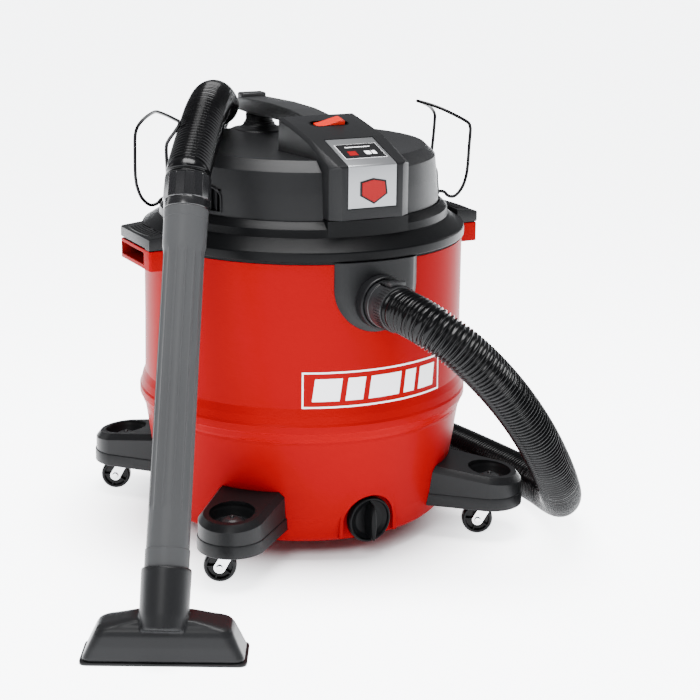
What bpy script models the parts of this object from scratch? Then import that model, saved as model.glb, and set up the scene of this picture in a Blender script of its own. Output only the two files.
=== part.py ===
# Wet and dry shop vacuum: tank on four casters, lifting motor lid, ribbed hose, wand and floor nozzle.
# Metres, +Z up, front is -Y, origin on the floor below the tank's axis.
import bpy
import bmesh
import math
from mathutils import Matrix, Vector

for old in list(bpy.data.objects):
    bpy.data.objects.remove(old, do_unlink=True)

# ---------------------------------------------------------------- driving dimensions
TANK_R = 0.2200            # outer radius of the straight tank wall
TANK_H = 0.4080            # height of the tank rim above the floor
TANK_BOTTOM = 0.0280       # underside of the tank
WALL = 0.0035
RIDGE_Z = 0.1910           # middle of the moulded belt around the tank
RIDGE_OUT = 0.0084
FOOT_XY = TANK_R - 0.0260   # caster centre from the axis in X and in Y
FOOT_END_R = 0.0440
WHEEL_R = 0.0215
HOSE_D = 0.0570
INLET_Z = 0.3580
DRAIN_Z = 0.0587
HANDLE_X = TANK_R + 0.0293  # outer face of the side carrying handles
LID_TOP_Z = TANK_H + 0.1265
GAP = 0.0003               # clearance between pieces that touch
FIT = 0.0006               # clearance of pieces that turn or slide
SEG = 48

FLANGE_R = TANK_R + 0.0028
FLANGE_Z = TANK_H + 0.0034
SKIRT_R = TANK_R - 0.0212
LEDGE_Z = FLANGE_Z + 0.0443
DOME_R = SKIRT_R - 0.0135
MOTOR_Z = LEDGE_Z - 0.0217
CONSOLE_W = 0.0580         # half width of the front console
INTAKE_R = 0.0360          # hole in the lid that the float closes

OUT = TANK_R - 0.2200       # how far what hangs on the tank's side moves out with it
UP = TANK_H - 0.4080        # how far what stands on the rim moves up with it

nodes = {}


# ---------------------------------------------------------------- helpers
def material(name, rgb, rough=0.5, metal=0.0):
    m = bpy.data.materials.new(name)
    m.use_nodes = True
    b = m.node_tree.nodes["Principled BSDF"]
    b.inputs["Base Color"].default_value = (rgb[0], rgb[1], rgb[2], 1.0)
    b.inputs["Roughness"].default_value = rough
    b.inputs["Metallic"].default_value = metal
    return m


RED = (0.62, 0.015, 0.015)
BLACK = (0.028, 0.029, 0.032)
GREY = (0.060, 0.061, 0.065)
ZINC = (0.62, 0.63, 0.65)
SILVER = (0.60, 0.61, 0.62)


def finish(bm, name, rgb, rough=0.5, metal=0.0, angle=32, origin=(0, 0, 0)):
    bmesh.ops.remove_doubles(bm, verts=bm.verts, dist=1e-6)
    bmesh.ops.recalc_face_normals(bm, faces=bm.faces)
    if origin != (0, 0, 0):
        bmesh.ops.translate(bm, verts=bm.verts, vec=-Vector(origin))
    me = bpy.data.meshes.new(name)
    bm.to_mesh(me)
    bm.free()
    ob = bpy.data.objects.new(name, me)
    bpy.context.scene.collection.objects.link(ob)
    ob.location = origin
    me.materials.append(material(name, rgb, rough, metal))
    me.shade_smooth()
    me.set_sharp_from_angle(angle=math.radians(angle))
    nodes[name] = ob
    return ob


def hidden(bm, name):
    bmesh.ops.remove_doubles(bm, verts=bm.verts, dist=1e-6)
    bmesh.ops.recalc_face_normals(bm, faces=bm.faces)
    me = bpy.data.meshes.new(name)
    bm.to_mesh(me)
    bm.free()
    ob = bpy.data.objects.new(name, me)
    bpy.context.scene.collection.objects.link(ob)
    ob.hide_render = True
    ob.display_type = 'WIRE'
    return ob


def boolean(target, tool, op):
    m = target.modifiers.new(op.lower(), 'BOOLEAN')
    m.operation = op
    m.solver = 'EXACT'
    m.object = tool


def revolve(profile, segs=SEG, bm=None, matrix=None, phase=0.0):
    """Closed (radius, height) outline spun about Z; radius 0 makes a pole."""
    bm = bm or bmesh.new()
    rings = []
    for r, z in profile:
        if r < 1e-7:
            rings.append([bm.verts.new((0, 0, z))])
        else:
            rings.append([bm.verts.new((r * math.cos(phase + 2 * math.pi * k / segs),
                                        r * math.sin(phase + 2 * math.pi * k / segs), z))
                          for k in range(segs)])
    n = len(rings)
    for i in range(n):
        a, b = rings[i], rings[(i + 1) % n]
        if len(a) == 1 and len(b) == 1:
            continue
        for k in range(segs):
            j = (k + 1) % segs
            if len(a) == 1:
                bm.faces.new((a[0], b[j], b[k]))
            elif len(b) == 1:
                bm.faces.new((a[k], a[j], b[0]))
            else:
                bm.faces.new((a[k], a[j], b[j], b[k]))
    if matrix is not None:
        vs = [v for ring in rings for v in ring]
        bmesh.ops.transform(bm, matrix=matrix, verts=vs)
    return bm


def box(lo, hi, bm=None, bevel=0.0, matrix=None):
    bm = bm or bmesh.new()
    r = bmesh.ops.create_cube(bm, size=1.0)
    vs = r["verts"]
    for v in vs:
        v.co = Vector([lo[i] + (v.co[i] + 0.5) * (hi[i] - lo[i]) for i in range(3)])
    if bevel:
        edges = list({e for v in vs for e in v.link_edges})
        out = bmesh.ops.bevel(bm, geom=edges, offset=bevel, segments=2, affect='EDGES', profile=0.5)
        vs = list({v for f in out["faces"] for v in f.verts} | {v for v in vs if v.is_valid})
    if matrix is not None:
        bmesh.ops.transform(bm, matrix=matrix, verts=vs)
    return bm


def prism(outline, lo, hi, axis='Z', bm=None, matrix=None):
    """Extrude a 2-D outline; axis X takes (y, z), axis Y takes (x, z), axis Z takes (x, y)."""
    bm = bm or bmesh.new()

    def put(p, h):
        return {'X': (h, p[0], p[1]), 'Y': (p[0], h, p[1]), 'Z': (p[0], p[1], h)}[axis]
    a = [bm.verts.new(put(p, lo)) for p in outline]
    b = [bm.verts.new(put(p, hi)) for p in outline]
    n = len(outline)
    bm.faces.new(a)
    bm.faces.new(b)
    for i in range(n):
        j = (i + 1) % n
        bm.faces.new((a[i], a[j], b[j], b[i]))
    if matrix is not None:
        bmesh.ops.transform(bm, matrix=matrix, verts=a + b)
    return bm


def arc(cx, cy, r, a0, a1, n):
    return [(cx + r * math.cos(math.radians(a0 + (a1 - a0) * i / n)),
             cy + r * math.sin(math.radians(a0 + (a1 - a0) * i / n))) for i in range(n + 1)]


def smooth_path(points, step):
    """Even points along a smooth curve through the given ones."""
    pts = [Vector(p) for p in points]
    pts = [pts[0] * 2 - pts[1]] + pts + [pts[-1] * 2 - pts[-2]]
    fine = []
    for i in range(1, len(pts) - 2):
        p0, p1, p2, p3 = pts[i - 1:i + 3]
        for k in range(24):
            t = k / 24
            fine.append(0.5 * ((2 * p1) + (p2 - p0) * t + (2 * p0 - 5 * p1 + 4 * p2 - p3) * t * t
                               + (3 * p1 - p0 - 3 * p2 + p3) * t ** 3))
    fine.append(pts[-2])
    dist = [0.0]
    for a, b in zip(fine, fine[1:]):
        dist.append(dist[-1] + (b - a).length)
    count = max(2, round(dist[-1] / step))
    out, j = [], 0
    for k in range(count + 1):
        want = dist[-1] * k / count
        while j < len(fine) - 2 and dist[j + 1] < want:
            j += 1
        f = (want - dist[j]) / max(dist[j + 1] - dist[j], 1e-9)
        out.append(fine[j].lerp(fine[j + 1], min(max(f, 0), 1)))
    return out


def tube(name, points, radius, rgb, rough=0.4, metal=0.0, res=3, ends=True):
    cu = bpy.data.curves.new(name, 'CURVE')
    cu.dimensions = '3D'
    cu.bevel_depth = radius
    cu.bevel_resolution = res
    cu.use_fill_caps = ends
    sp = cu.splines.new('POLY')
    sp.points.add(len(points) - 1)
    for p, q in zip(sp.points, points):
        p.co = (q[0], q[1], q[2], 1)
    cu.materials.append(material(name, rgb, rough, metal))
    ob = bpy.data.objects.new(name, cu)
    bpy.context.scene.collection.objects.link(ob)
    nodes[name] = ob
    return ob


TO_Y = Matrix.Rotation(math.radians(90), 4, 'X')      # +Z of a spun outline points to -Y


def at(x, y, z, extra=None):
    m = Matrix.Translation((x, y, z))
    return m @ extra if extra is not None else m


# ---------------------------------------------------------------- tank
low_r = TANK_R - 0.0170
tank_outer = [(low_r - 0.0080, TANK_BOTTOM), (low_r - 0.0020, TANK_BOTTOM + 0.006),
              (low_r + 0.0025, TANK_BOTTOM + 0.032),
              (TANK_R - 0.0100, 0.100), (TANK_R + 0.0004, RIDGE_Z - 0.026), (TANK_R + 0.0036, RIDGE_Z - 0.0160),
              (TANK_R + RIDGE_OUT, RIDGE_Z - 0.0060), (TANK_R + RIDGE_OUT, RIDGE_Z + 0.0050),
              (TANK_R + 0.0045, RIDGE_Z + 0.0180), (TANK_R + 0.0005, RIDGE_Z + 0.0270),
              (TANK_R, 0.300), (TANK_R, TANK_H + 0.002)]
inner_wall = TANK_R - WALL
tank_inner = [(FLANGE_R + 0.0004, TANK_H + 0.02), (FLANGE_R + 0.0004, TANK_H), (inner_wall, TANK_H),
              (inner_wall, RIDGE_Z - 0.020),
              (TANK_R - 0.0100 - WALL, 0.100), (low_r - 0.0035, TANK_BOTTOM + 0.030),
              (low_r - 0.0090, TANK_BOTTOM + 0.010), (low_r - 0.0170, TANK_BOTTOM + WALL + 0.001),
              (0, TANK_BOTTOM + WALL + 0.001), (0, TANK_H + 0.02)]
drum = finish(revolve([(0, TANK_BOTTOM)] + tank_outer + [(0, TANK_H + 0.002)]), "drum", RED, 0.28)
HB_Y0, HB_Y1 = -0.0560, 0.0520
HB_Z0, HB_Z1 = TANK_H - 0.0240, TANK_H + 0.0030
arms = bmesh.new()
for sx in (-1, 1):
    xs = sorted((sx * (TANK_R - 0.0120), sx * HANDLE_X))
    box((xs[0], HB_Y0, HB_Z0), (xs[1], HB_Y1, FLANGE_Z - 0.0010), arms)
boolean(drum, hidden(arms, "cut_arms"), 'UNION')
boolean(drum, hidden(revolve(tank_inner), "cut_cavity"), 'DIFFERENCE')
DRAIN_FACE = -(low_r - 0.0080)
boss = arc(0, DRAIN_Z - 0.008, 0.0425, 0, 180, 12)
boss = [(0.0425, TANK_BOTTOM + 0.006)] + boss + [(-0.0425, TANK_BOTTOM + 0.006)]
boolean(drum, hidden(prism(boss, -(low_r - 0.0010), DRAIN_FACE + 0.0050, 'Y'), "add_drain_boss"), 'UNION')
pocket = arc(0, DRAIN_Z - 0.007, 0.0375, 0, 180, 12)
pocket = [(0.0375, TANK_BOTTOM - 0.01)] + pocket + [(-0.0375, TANK_BOTTOM - 0.01)]
boolean(drum, hidden(prism(pocket, -(TANK_R + 0.04), DRAIN_FACE, 'Y'), "cut_drain_pocket"), 'DIFFERENCE')
holes = bmesh.new()
revolve([(0, 0), (0.0145, 0), (0.0145, 0.05), (0, 0.05)], 24, holes, at(0, DRAIN_FACE + 0.02, DRAIN_Z - 0.004, TO_Y))
revolve([(0, 0), (0.0312, 0), (0.0312, 0.06), (0, 0.06)], 32, holes, at(0, -(TANK_R - 0.035), INLET_Z, TO_Y))
for sx in (-1, 1):
    xs = sorted((sx * (TANK_R + 0.0016), sx * (HANDLE_X + 0.01)))
    box((xs[0], HB_Y0 + 0.004, HB_Z0 + 0.004), (xs[1], HB_Y1 - 0.004, TANK_H + 0.02), holes)
boolean(drum, hidden(holes, "cut_holes"), 'DIFFERENCE')

# ---------------------------------------------------------------- feet, casters
corners = {"fl": (-1, -1), "fr": (1, -1), "bl": (-1, 1), "br": (1, 1)}
TRAIL = 0.0155
TRAIL_DIR = math.atan2(0.462, -0.887)
foot_c = FOOT_XY * math.sqrt(2)
FOOT_BOTTOM = 0.0460


def foot_top(s):
    return 0.0935 - 0.114 * (s - foot_c)


def foot_outline(grow):
    r = FOOT_END_R + grow
    pts = [(foot_c - 0.098, -0.048 - grow)] + arc(foot_c, 0, r, -80, 80, 11)
    return pts + [(foot_c - 0.098, 0.048 + grow)]


tank_clear = [(0, TANK_BOTTOM - GAP)] + [(r + GAP + 0.0001, z) for r, z in tank_outer] + [(0, TANK_H + 0.01)]
foot_cut = hidden(revolve(tank_clear), "cut_feet")
for key, (sx, sy) in corners.items():
    ang = math.atan2(sy, sx)
    rot = Matrix.Rotation(ang, 4, 'Z')
    bm = bmesh.new()
    levels = [(FOOT_BOTTOM, 0.0015, False), (FOOT_BOTTOM + 0.0170, 0.0015, False),
              (FOOT_BOTTOM + 0.0180, 0.0, False), (-0.0050, 0.0, True), (-0.0012, -0.0016, True), (0.0, -0.0050, True)]
    rings = []
    for z, grow, slope in levels:
        rings.append([bm.verts.new((p[0], p[1], (foot_top(p[0]) + z) if slope else z)) for p in foot_outline(grow)])
    n = len(rings[0])
    bm.faces.new(rings[0])
    bm.faces.new(rings[-1])
    for a, b in zip(rings, rings[1:]):
        for i in range(n):
            j = (i + 1) % n
            bm.faces.new((a[i], a[j], b[j], b[i]))
    bmesh.ops.transform(bm, matrix=rot, verts=bm.verts)
    foot = finish(bm, "foot_" + key, BLACK, 0.45)
    boolean(foot, foot_cut, 'DIFFERENCE')
    cx, cy = sx * FOOT_XY, sy * FOOT_XY
    bm = bmesh.new()
    revolve([(0, 0.0838), (0.0280, 0.0838), (0.0300, 0.0858), (0.0300, 0.120), (0, 0.120)], 28, bm, at(cx, cy, 0))
    revolve([(0, FOOT_BOTTOM - 0.01), (0.0056, FOOT_BOTTOM - 0.01), (0.0056, FOOT_BOTTOM + 0.0190),
             (0, FOOT_BOTTOM + 0.0190)], 16, bm, at(cx, cy, 0))
    boolean(foot, hidden(bm, "cut_foot_" + key), 'DIFFERENCE')
    finish(revolve([(0, 0.0841), (0.0150, 0.0841), (0.0150, 0.0868), (0.0125, 0.0898), (0.0070, 0.0915), (0, 0.0920)],
                   18, matrix=at(cx, cy, 0)), "foot_screw_" + key, BLACK, 0.35)

    turn = at(cx, cy, 0, Matrix.Rotation(TRAIL_DIR, 4, 'Z'))
    side = [(-0.0120, 0.0457), (-0.0120, 0.0415), (0.0078, 0.0160)] + \
        arc(TRAIL, WHEEL_R, 0.0078, 215, 330, 6) + [(0.0245, 0.0415), (0.0245, 0.0457)]
    fork = finish(prism(side, -0.0125, 0.0125, 'Y', matrix=turn), "caster_fork_" + key, ZINC, 0.3, 1.0,
                  origin=(cx, cy, 0.0457))
    cut = box((-0.03, -0.0105, 0.0), (0.04, 0.0105, 0.0436), matrix=turn)
    boolean(fork, hidden(cut, "cut_fork_" + key), 'DIFFERENCE')
    stem = revolve([(0, 0.0446), (0.0050, 0.0446), (0.0050, 0.0630), (0.0042, 0.0640), (0, 0.0640)], 16, matrix=turn)
    boolean(fork, hidden(stem, "add_stem_" + key), 'UNION')
    axle_m = turn @ Matrix.Translation((TRAIL, 0, WHEEL_R)) @ TO_Y
    hole = revolve([(0, -0.03), (0.0033, -0.03), (0.0033, 0.03), (0, 0.03)], 16, matrix=axle_m)
    boolean(fork, hidden(hole, "cut_axle_" + key), 'DIFFERENCE')
    axle_at = turn @ Vector((TRAIL, 0, WHEEL_R))
    finish(revolve([(0.0034, -0.0086), (0.0105, -0.0086), (0.0125, -0.0074), (0.0165, -0.0074), (0.0185, -0.0088),
                    (0.0208, -0.0068), (WHEEL_R, -0.0030), (WHEEL_R, 0.0030), (0.0208, 0.0068), (0.0185, 0.0088),
                    (0.0165, 0.0074), (0.0125, 0.0074), (0.0105, 0.0086), (0.0034, 0.0086)], 20, matrix=axle_m), "wheel_" + key, BLACK, 0.5, origin=tuple(axle_at))
    finish(revolve([(0, -0.0145), (0.0042, -0.0142), (0.0048, -0.0128), (0.0030, -0.0128),
                    (0.0030, 0.0128), (0.0048, 0.0128), (0.0042, 0.0142), (0, 0.0145)],
                   12, matrix=axle_m), "axle_" + key, ZINC, 0.25, 1.0)

# ---------------------------------------------------------------- inlet plate, hose connector, drain
PLATE_OUT = TANK_R + 0.0062
plate = finish(revolve([(TANK_R + GAP, INLET_Z - 0.060), (PLATE_OUT, INLET_Z - 0.060),
                        (PLATE_OUT, FLANGE_Z - GAP - 0.0006), (TANK_R + GAP, FLANGE_Z - GAP - 0.0006)]),
               "inlet_plate", BLACK, 0.5)
u_shape = [(0.0600, TANK_H + 0.022)] + [(0.0600, INLET_Z + 0.0185)] + arc(0, INLET_Z + 0.0185, 0.0600, -12, -168, 16)[0:] \
    + [(-0.0600, INLET_Z + 0.0185), (-0.0600, TANK_H + 0.022)]
boolean(plate, hidden(prism(u_shape, -(TANK_R + 0.04), -(TANK_R - 0.05), 'Y'), "keep_plate"), 'INTERSECT')
collar = bmesh.new()
revolve([(0, 0), (0.0350, 0), (0.0350, 0.0178), (0.0340, 0.0188), (0, 0.0188)], 32, collar, at(0, -(TANK_R + 0.0012), INLET_Z, TO_Y))
boolean(plate, hidden(collar, "add_collar"), 'UNION')
sleeve = revolve([(0, 0), (0.0305, 0), (0.0305, 0.0190), (0, 0.0190)], 32, matrix=at(0, -(TANK_R - 0.0160), INLET_Z, TO_Y))
boolean(plate, hidden(sleeve, "add_sleeve"), 'UNION')
bore = revolve([(0, -0.03), (0.0282, -0.03), (0.0282, 0.0070), (0.0326, 0.0070), (0.0326, 0.05), (0, 0.05)],
               32, matrix=at(0, -(TANK_R + 0.0050), INLET_Z, TO_Y))
boolean(plate, hidden(bore, "cut_bore"), 'DIFFERENCE')

HOSE_START_Y = -(TANK_R + 0.0590)
NECK_Y = -(TANK_R - 0.0120)
CONN_LEN = NECK_Y - HOSE_START_Y - GAP
connector = finish(revolve([(0.0238, 0), (0.0272, 0), (0.0276, 0.0244), (0.0318, 0.0244), (0.0318, 0.0480),
                            (0.0306, 0.0500), (0.0296, 0.0510), (0.0292, CONN_LEN), (0.0238, CONN_LEN)],
                           32, matrix=at(0, NECK_Y, INLET_Z, TO_Y)), "hose_connector", BLACK, 0.4)
tab_slot = box((-0.0068, HOSE_START_Y + 0.0070, INLET_Z + 0.0254), (0.0068, HOSE_START_Y + 0.0350, INLET_Z + 0.040))
boolean(connector, hidden(tab_slot, "cut_tab_slot"), 'DIFFERENCE')
tab = [(0.0075, 0.0282), (0.0345, 0.0282), (0.0345, 0.0326), (0.0230, 0.0334), (0.0130, 0.0372), (0.0075, 0.0366)]
tab = [(HOSE_START_Y + y, INLET_Z + z) for y, z in tab]
finish(prism(tab, -0.0062, 0.0062, 'X'), "connector_tab", BLACK, 0.35, origin=(0, HOSE_START_Y + 0.0210, INLET_Z + 0.0282))

CAP_Z = DRAIN_Z - 0.004
cap_face = DRAIN_FACE - 0.0024
disc = [(0, -0.0200), (0.0136, -0.0200), (0.0136, -0.0003), (0.0300, 0.0003), (0.0305, 0.0020), (0.0310, 0.0080),
        (0.0295, 0.0105), (0.0240, 0.0115), (0, 0.0115)]
cap = finish(revolve(disc, 28, matrix=at(0, cap_face, CAP_Z, TO_Y)), "drain_cap", BLACK, 0.4,
             origin=(0, cap_face, CAP_Z))
grip = box((-0.0055, cap_face - 0.0225, CAP_Z - 0.0240), (0.0055, cap_face - 0.0100, CAP_Z + 0.0240), bevel=0.002)
boolean(cap, hidden(grip, "add_grip"), 'UNION')
finish(revolve([(0.0152, 0), (0.0200, 0), (0.0200, 0.0014), (0.0152, 0.0014)], 20,
               matrix=at(0, DRAIN_FACE - GAP, CAP_Z, TO_Y)), "drain_seal", (0.02, 0.02, 0.02), 0.8)

# ---------------------------------------------------------------- lid base, gasket, cover
lid = [(INTAKE_R, MOTOR_Z - 0.0040), (INTAKE_R, MOTOR_Z - GAP), (SKIRT_R - 0.0040, MOTOR_Z - GAP),
       (SKIRT_R - 0.0038, LEDGE_Z - 0.0036), (DOME_R - 0.0070, LEDGE_Z - 0.0036), (DOME_R - 0.0070, LEDGE_Z),
       (SKIRT_R - 0.0012, LEDGE_Z), (SKIRT_R, LEDGE_Z - 0.0014), (SKIRT_R + 0.0012, FLANGE_Z + 0.0262),
       (SKIRT_R + 0.0050, FLANGE_Z + 0.0222), (SKIRT_R + 0.0150, FLANGE_Z + 0.0182), (FLANGE_R - 0.0022, FLANGE_Z + 0.0145),
       (FLANGE_R, FLANGE_Z + 0.0120), (FLANGE_R - 0.0010, FLANGE_Z), (TANK_R - WALL - 0.0010, FLANGE_Z),
       (TANK_R - WALL - 0.0010, TANK_H - 0.0120), (TANK_R - WALL - 0.0040, TANK_H - 0.0120),
       (TANK_R - WALL - 0.0040, MOTOR_Z - 0.0040)]
finish(revolve(lid), "lid_base", GREY, 0.5)
finish(revolve([(TANK_R - WALL + 0.0001, TANK_H + GAP), (TANK_R - 0.0006, TANK_H + GAP),
                (TANK_R - 0.0006, FLANGE_Z - GAP), (TANK_R - WALL + 0.0001, FLANGE_Z - GAP)]),
       "lid_gasket", (0.015, 0.015, 0.015), 0.8)

D0 = LEDGE_Z + GAP
dome = [(0, LID_TOP_Z - 0.0060), (0.1500, LID_TOP_Z - 0.0015), (DOME_R - 0.0175, LID_TOP_Z - 0.0005),
        (DOME_R - 0.0155, LID_TOP_Z - 0.0012),
        (DOME_R - 0.0040, LID_TOP_Z - 0.0140), (DOME_R - 0.0012, LEDGE_Z + 0.0368), (DOME_R + 0.0008, D0), (DOME_R - 0.0024, D0),
        (DOME_R - 0.0042, LEDGE_Z + 0.0368), (DOME_R - 0.0068, LID_TOP_Z - 0.0150), (DOME_R - 0.0180, LID_TOP_Z - 0.0036),
        (0.1500, LID_TOP_Z - 0.0046), (0, LID_TOP_Z - 0.0092)]
cover = finish(revolve(dome), "motor_cover", GREY, 0.5)
POST_Y = 0.1480
pad = revolve([(0, LID_TOP_Z - 0.0070), (0.0330, LID_TOP_Z - 0.0050), (0.0300, LID_TOP_Z + 0.0005), (0.0232, LID_TOP_Z + 0.0040),
               (0.0222, LID_TOP_Z + 0.0080), (0, LID_TOP_Z + 0.0080)], 32, matrix=at(0, POST_Y, 0))
boolean(cover, hidden(pad, "add_pad"), 'UNION')
room = box((-CONSOLE_W - GAP, -(TANK_R + 0.08), TANK_H - 0.008), (CONSOLE_W + GAP, -0.0400, TANK_H + 0.19))
boolean(cover, hidden(room, "cut_console"), 'DIFFERENCE')

# ---------------------------------------------------------------- console, handle, trims
FRONT_R = SKIRT_R + 0.0004
con = [(-FRONT_R - 0.0158, D0), (-FRONT_R - 0.0158, UP + 0.5265), (-FRONT_R + 0.0005, UP + 0.5270), (-0.1280, UP + 0.5545), (-0.0860, UP + 0.5660),
       (-0.0400, UP + 0.5755),
       (-0.0403, D0)]
console = finish(prism(con, -CONSOLE_W, CONSOLE_W, 'X'), "console", GREY, 0.5)
keep = revolve([(0, UP + 0.44), (FRONT_R, UP + 0.44), (FRONT_R, UP + 0.60), (0, UP + 0.60)], SEG)
boolean(console, hidden(keep, "keep_console"), 'INTERSECT')
well = [(-0.2005, D0 - 0.02), (-0.1900, D0 - 0.02), (-0.1840, UP + 0.5180), (-0.1280, UP + 0.5420), (-0.0860, UP + 0.5520),
        (-0.0405, UP + 0.5600), (-0.030, UP + 0.5600), (-0.030, D0 - 0.02)]
well = [(y + (0.012 if i == 0 else 0.0), z) for i, (y, z) in enumerate(well)]
boolean(console, hidden(prism(well, -CONSOLE_W + 0.004, CONSOLE_W - 0.004, 'X'), "cut_well"), 'DIFFERENCE')
SW = Vector((0.0, -0.0755, UP + 0.5680))
sw_tilt = Matrix.Rotation(math.radians(11.5), 4, 'X')
sw_m = Matrix.Translation(SW) @ sw_tilt
SW_X = 0.0170              # the oval's ends are centred this far out
sw_hole = prism(arc(SW_X, 0, 0.0121, -90, 90, 8) + arc(-SW_X, 0, 0.0121, 90, 270, 8), -0.03, 0.02, 'Z', matrix=sw_m)
boolean(console, hidden(sw_hole, "cut_switch"), 'DIFFERENCE')

face_w = 0.0348
vert_y = -(FRONT_R + 0.0007)
plate_in = [(vert_y, UP + 0.4765), (vert_y, UP + 0.5290), (vert_y + 0.0049, UP + 0.5318), (-0.1324, UP + 0.5549)]
plate_out = [(-0.1330, UP + 0.5563), (vert_y + 0.0039, UP + 0.5331), (vert_y - 0.0014, UP + 0.5300), (vert_y - 0.0014, UP + 0.4765)]
badge_plate = finish(prism(plate_in + plate_out, -face_w, face_w, 'X'), "badge_plate", SILVER, 0.3, 0.9)
slope = math.atan2(0.5549 - 0.5318, -0.1324 - vert_y - 0.0049)
LABEL_Y = -0.1660
lab_m = Matrix.Translation((0, LABEL_Y, UP + 0.5563 + (LABEL_Y + 0.1330) * math.tan(slope) + 0.0005)) @ Matrix.Rotation(slope, 4, 'X')
finish(box((-0.0310, -0.0200, 0.0002), (0.0310, 0.0200, 0.0012), matrix=lab_m), "label_panel", (0.01, 0.01, 0.012), 0.3)
hexa = [(0.0185 * math.sin(math.radians(60 * i)), UP + 0.4988 + 0.0185 * math.cos(math.radians(60 * i))) for i in range(6)]
finish(prism(hexa, vert_y - 0.0032, vert_y - 0.0017, 'Y'), "badge", (0.65, 0.02, 0.02), 0.35)

bez = arc(SW_X, 0, 0.0116, -90, 90, 8) + arc(-SW_X, 0, 0.0116, 90, 270, 8)
bezel = finish(prism(bez, -0.0120, 0.0006, 'Z', matrix=sw_m), "switch_bezel", BLACK, 0.4)
win = prism(arc(SW_X, 0, 0.0101, -90, 90, 8) + arc(-SW_X, 0, 0.0101, 90, 270, 8), -0.03, 0.02, 'Z', matrix=sw_m)
boolean(bezel, hidden(win, "cut_bezel"), 'DIFFERENCE')
rock = [(-0.0195, -0.0030), (-0.0150, -0.0065), (0.0150, -0.0065), (0.0195, -0.0010), (0.0195, 0.0052), (0.0155, 0.0078),
        (0.0060, 0.0052), (-0.0195, -0.0012)]
finish(prism(rock, -0.0085, 0.0085, 'Y', matrix=sw_m), "switch_rocker", (0.75, 0.06, 0.02), 0.25,
       origin=tuple(SW + sw_tilt @ Vector((0, 0, -0.004))))

bar = [(-0.0397, 0.5580), (0.0050, 0.5600), (0.1220, 0.5560), (0.1780, 0.5570), (0.1835, 0.5640), (0.1825, 0.5740),
       (0.1700, 0.5768), (0.0700, 0.5800), (0.0050, 0.5790), (-0.0397, 0.5750)]
bar = [(y, z + UP) for y, z in bar]
handle = finish(prism(bar, -0.0200, 0.0200, 'X'), "handle", BLACK, 0.6)
bev = handle.modifiers.new("round", 'BEVEL')
bev.width = 0.0045
bev.segments = 2
bev.limit_method = 'ANGLE'
bev.angle_limit = math.radians(50)
finish(revolve([(0, LID_TOP_Z + 0.0083), (0.0195, LID_TOP_Z + 0.0083), (0.0195, UP + 0.5554), (0, UP + 0.5554)], 28,
               matrix=at(0, POST_Y, 0)), "handle_post", BLACK, 0.45)

# ---------------------------------------------------------------- latches on the carrying handles
LATCH_PIN_X = HANDLE_X - 0.0052
LATCH_PIN_Z = HB_Z0 + 0.0100
for side_name, sx in (("l", -1), ("r", 1)):
    bm = bmesh.new()
    cap_top = [(TANK_R - 0.0080, FLANGE_Z + GAP), (HANDLE_X - 0.0020, FLANGE_Z + GAP), (HANDLE_X, FLANGE_Z + 0.0020),
               (HANDLE_X, FLANGE_Z + 0.0145), (HANDLE_X - 0.0015, FLANGE_Z + 0.0160), (TANK_R - 0.0080, FLANGE_Z + 0.0200)]
    prism([(sx * x, z) for x, z in cap_top], HB_Y0 + 0.0010, HB_Y1 - 0.0010, 'Y', bm)
    latch = finish(bm, "latch_" + side_name, BLACK, 0.45, origin=(sx * LATCH_PIN_X, 0, LATCH_PIN_Z))
    xs = sorted((sx * (LATCH_PIN_X - 0.0040), sx * (LATCH_PIN_X + 0.0040)))
    web = box((xs[0], HB_Y0 + 0.0050, LATCH_PIN_Z - 0.0038), (xs[1], HB_Y0 + 0.0200, FLANGE_Z + 0.0050))
    boolean(latch, hidden(web, "add_web_" + side_name), 'UNION')
    room = bmesh.new()
    revolve([(0, UP + 0.40), (FLANGE_R + 0.0008, UP + 0.40), (FLANGE_R + 0.0008, UP + 0.45), (0, UP + 0.45)], SEG, room)
    boolean(latch, hidden(room, "cut_latch_" + side_name), 'DIFFERENCE')
    pin_m = at(sx * LATCH_PIN_X, 0, LATCH_PIN_Z, TO_Y)
    hole = revolve([(0, -0.06), (0.0025, -0.06), (0.0025, 0.06), (0, 0.06)], 14, matrix=pin_m)
    boolean(latch, hidden(hole, "cut_pin_" + side_name), 'DIFFERENCE')
    finish(revolve([(0, -HB_Y0 - 0.0230), (0.0022, -HB_Y0 - 0.0230), (0.0022, -HB_Y0 - 0.0044), (0, -HB_Y0 - 0.0044)],
                   14, matrix=pin_m), "latch_pin_" + side_name, ZINC, 0.3, 1.0)

# ---------------------------------------------------------------- wire hooks beside the lid
WIRE_R = 0.0019
END_R = DOME_R + 0.0016    # the wire's ends stop at the cover's wall


def hook_leg(sx, y):
    """One leg from the cover's wall out over the ledge and down round the J bend."""
    xe = math.sqrt(END_R ** 2 - y * y)
    out = [(0.1870, 0.0049), (0.1920, 0.0028), (0.1958, -0.0012), (0.2010, -0.0036), (0.2078, -0.0034), (0.2150, 0.0018), (0.2215, 0.0108), (0.2262, 0.0243)]
    return [(sx * xe, y, LEDGE_Z + 0.0055)] + [(sx * (x + OUT), y, LEDGE_Z + z) for x, z in out]


def stay(points):
    return [(x + math.copysign(OUT, x), y, z + UP) for x, y, z in points]


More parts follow.
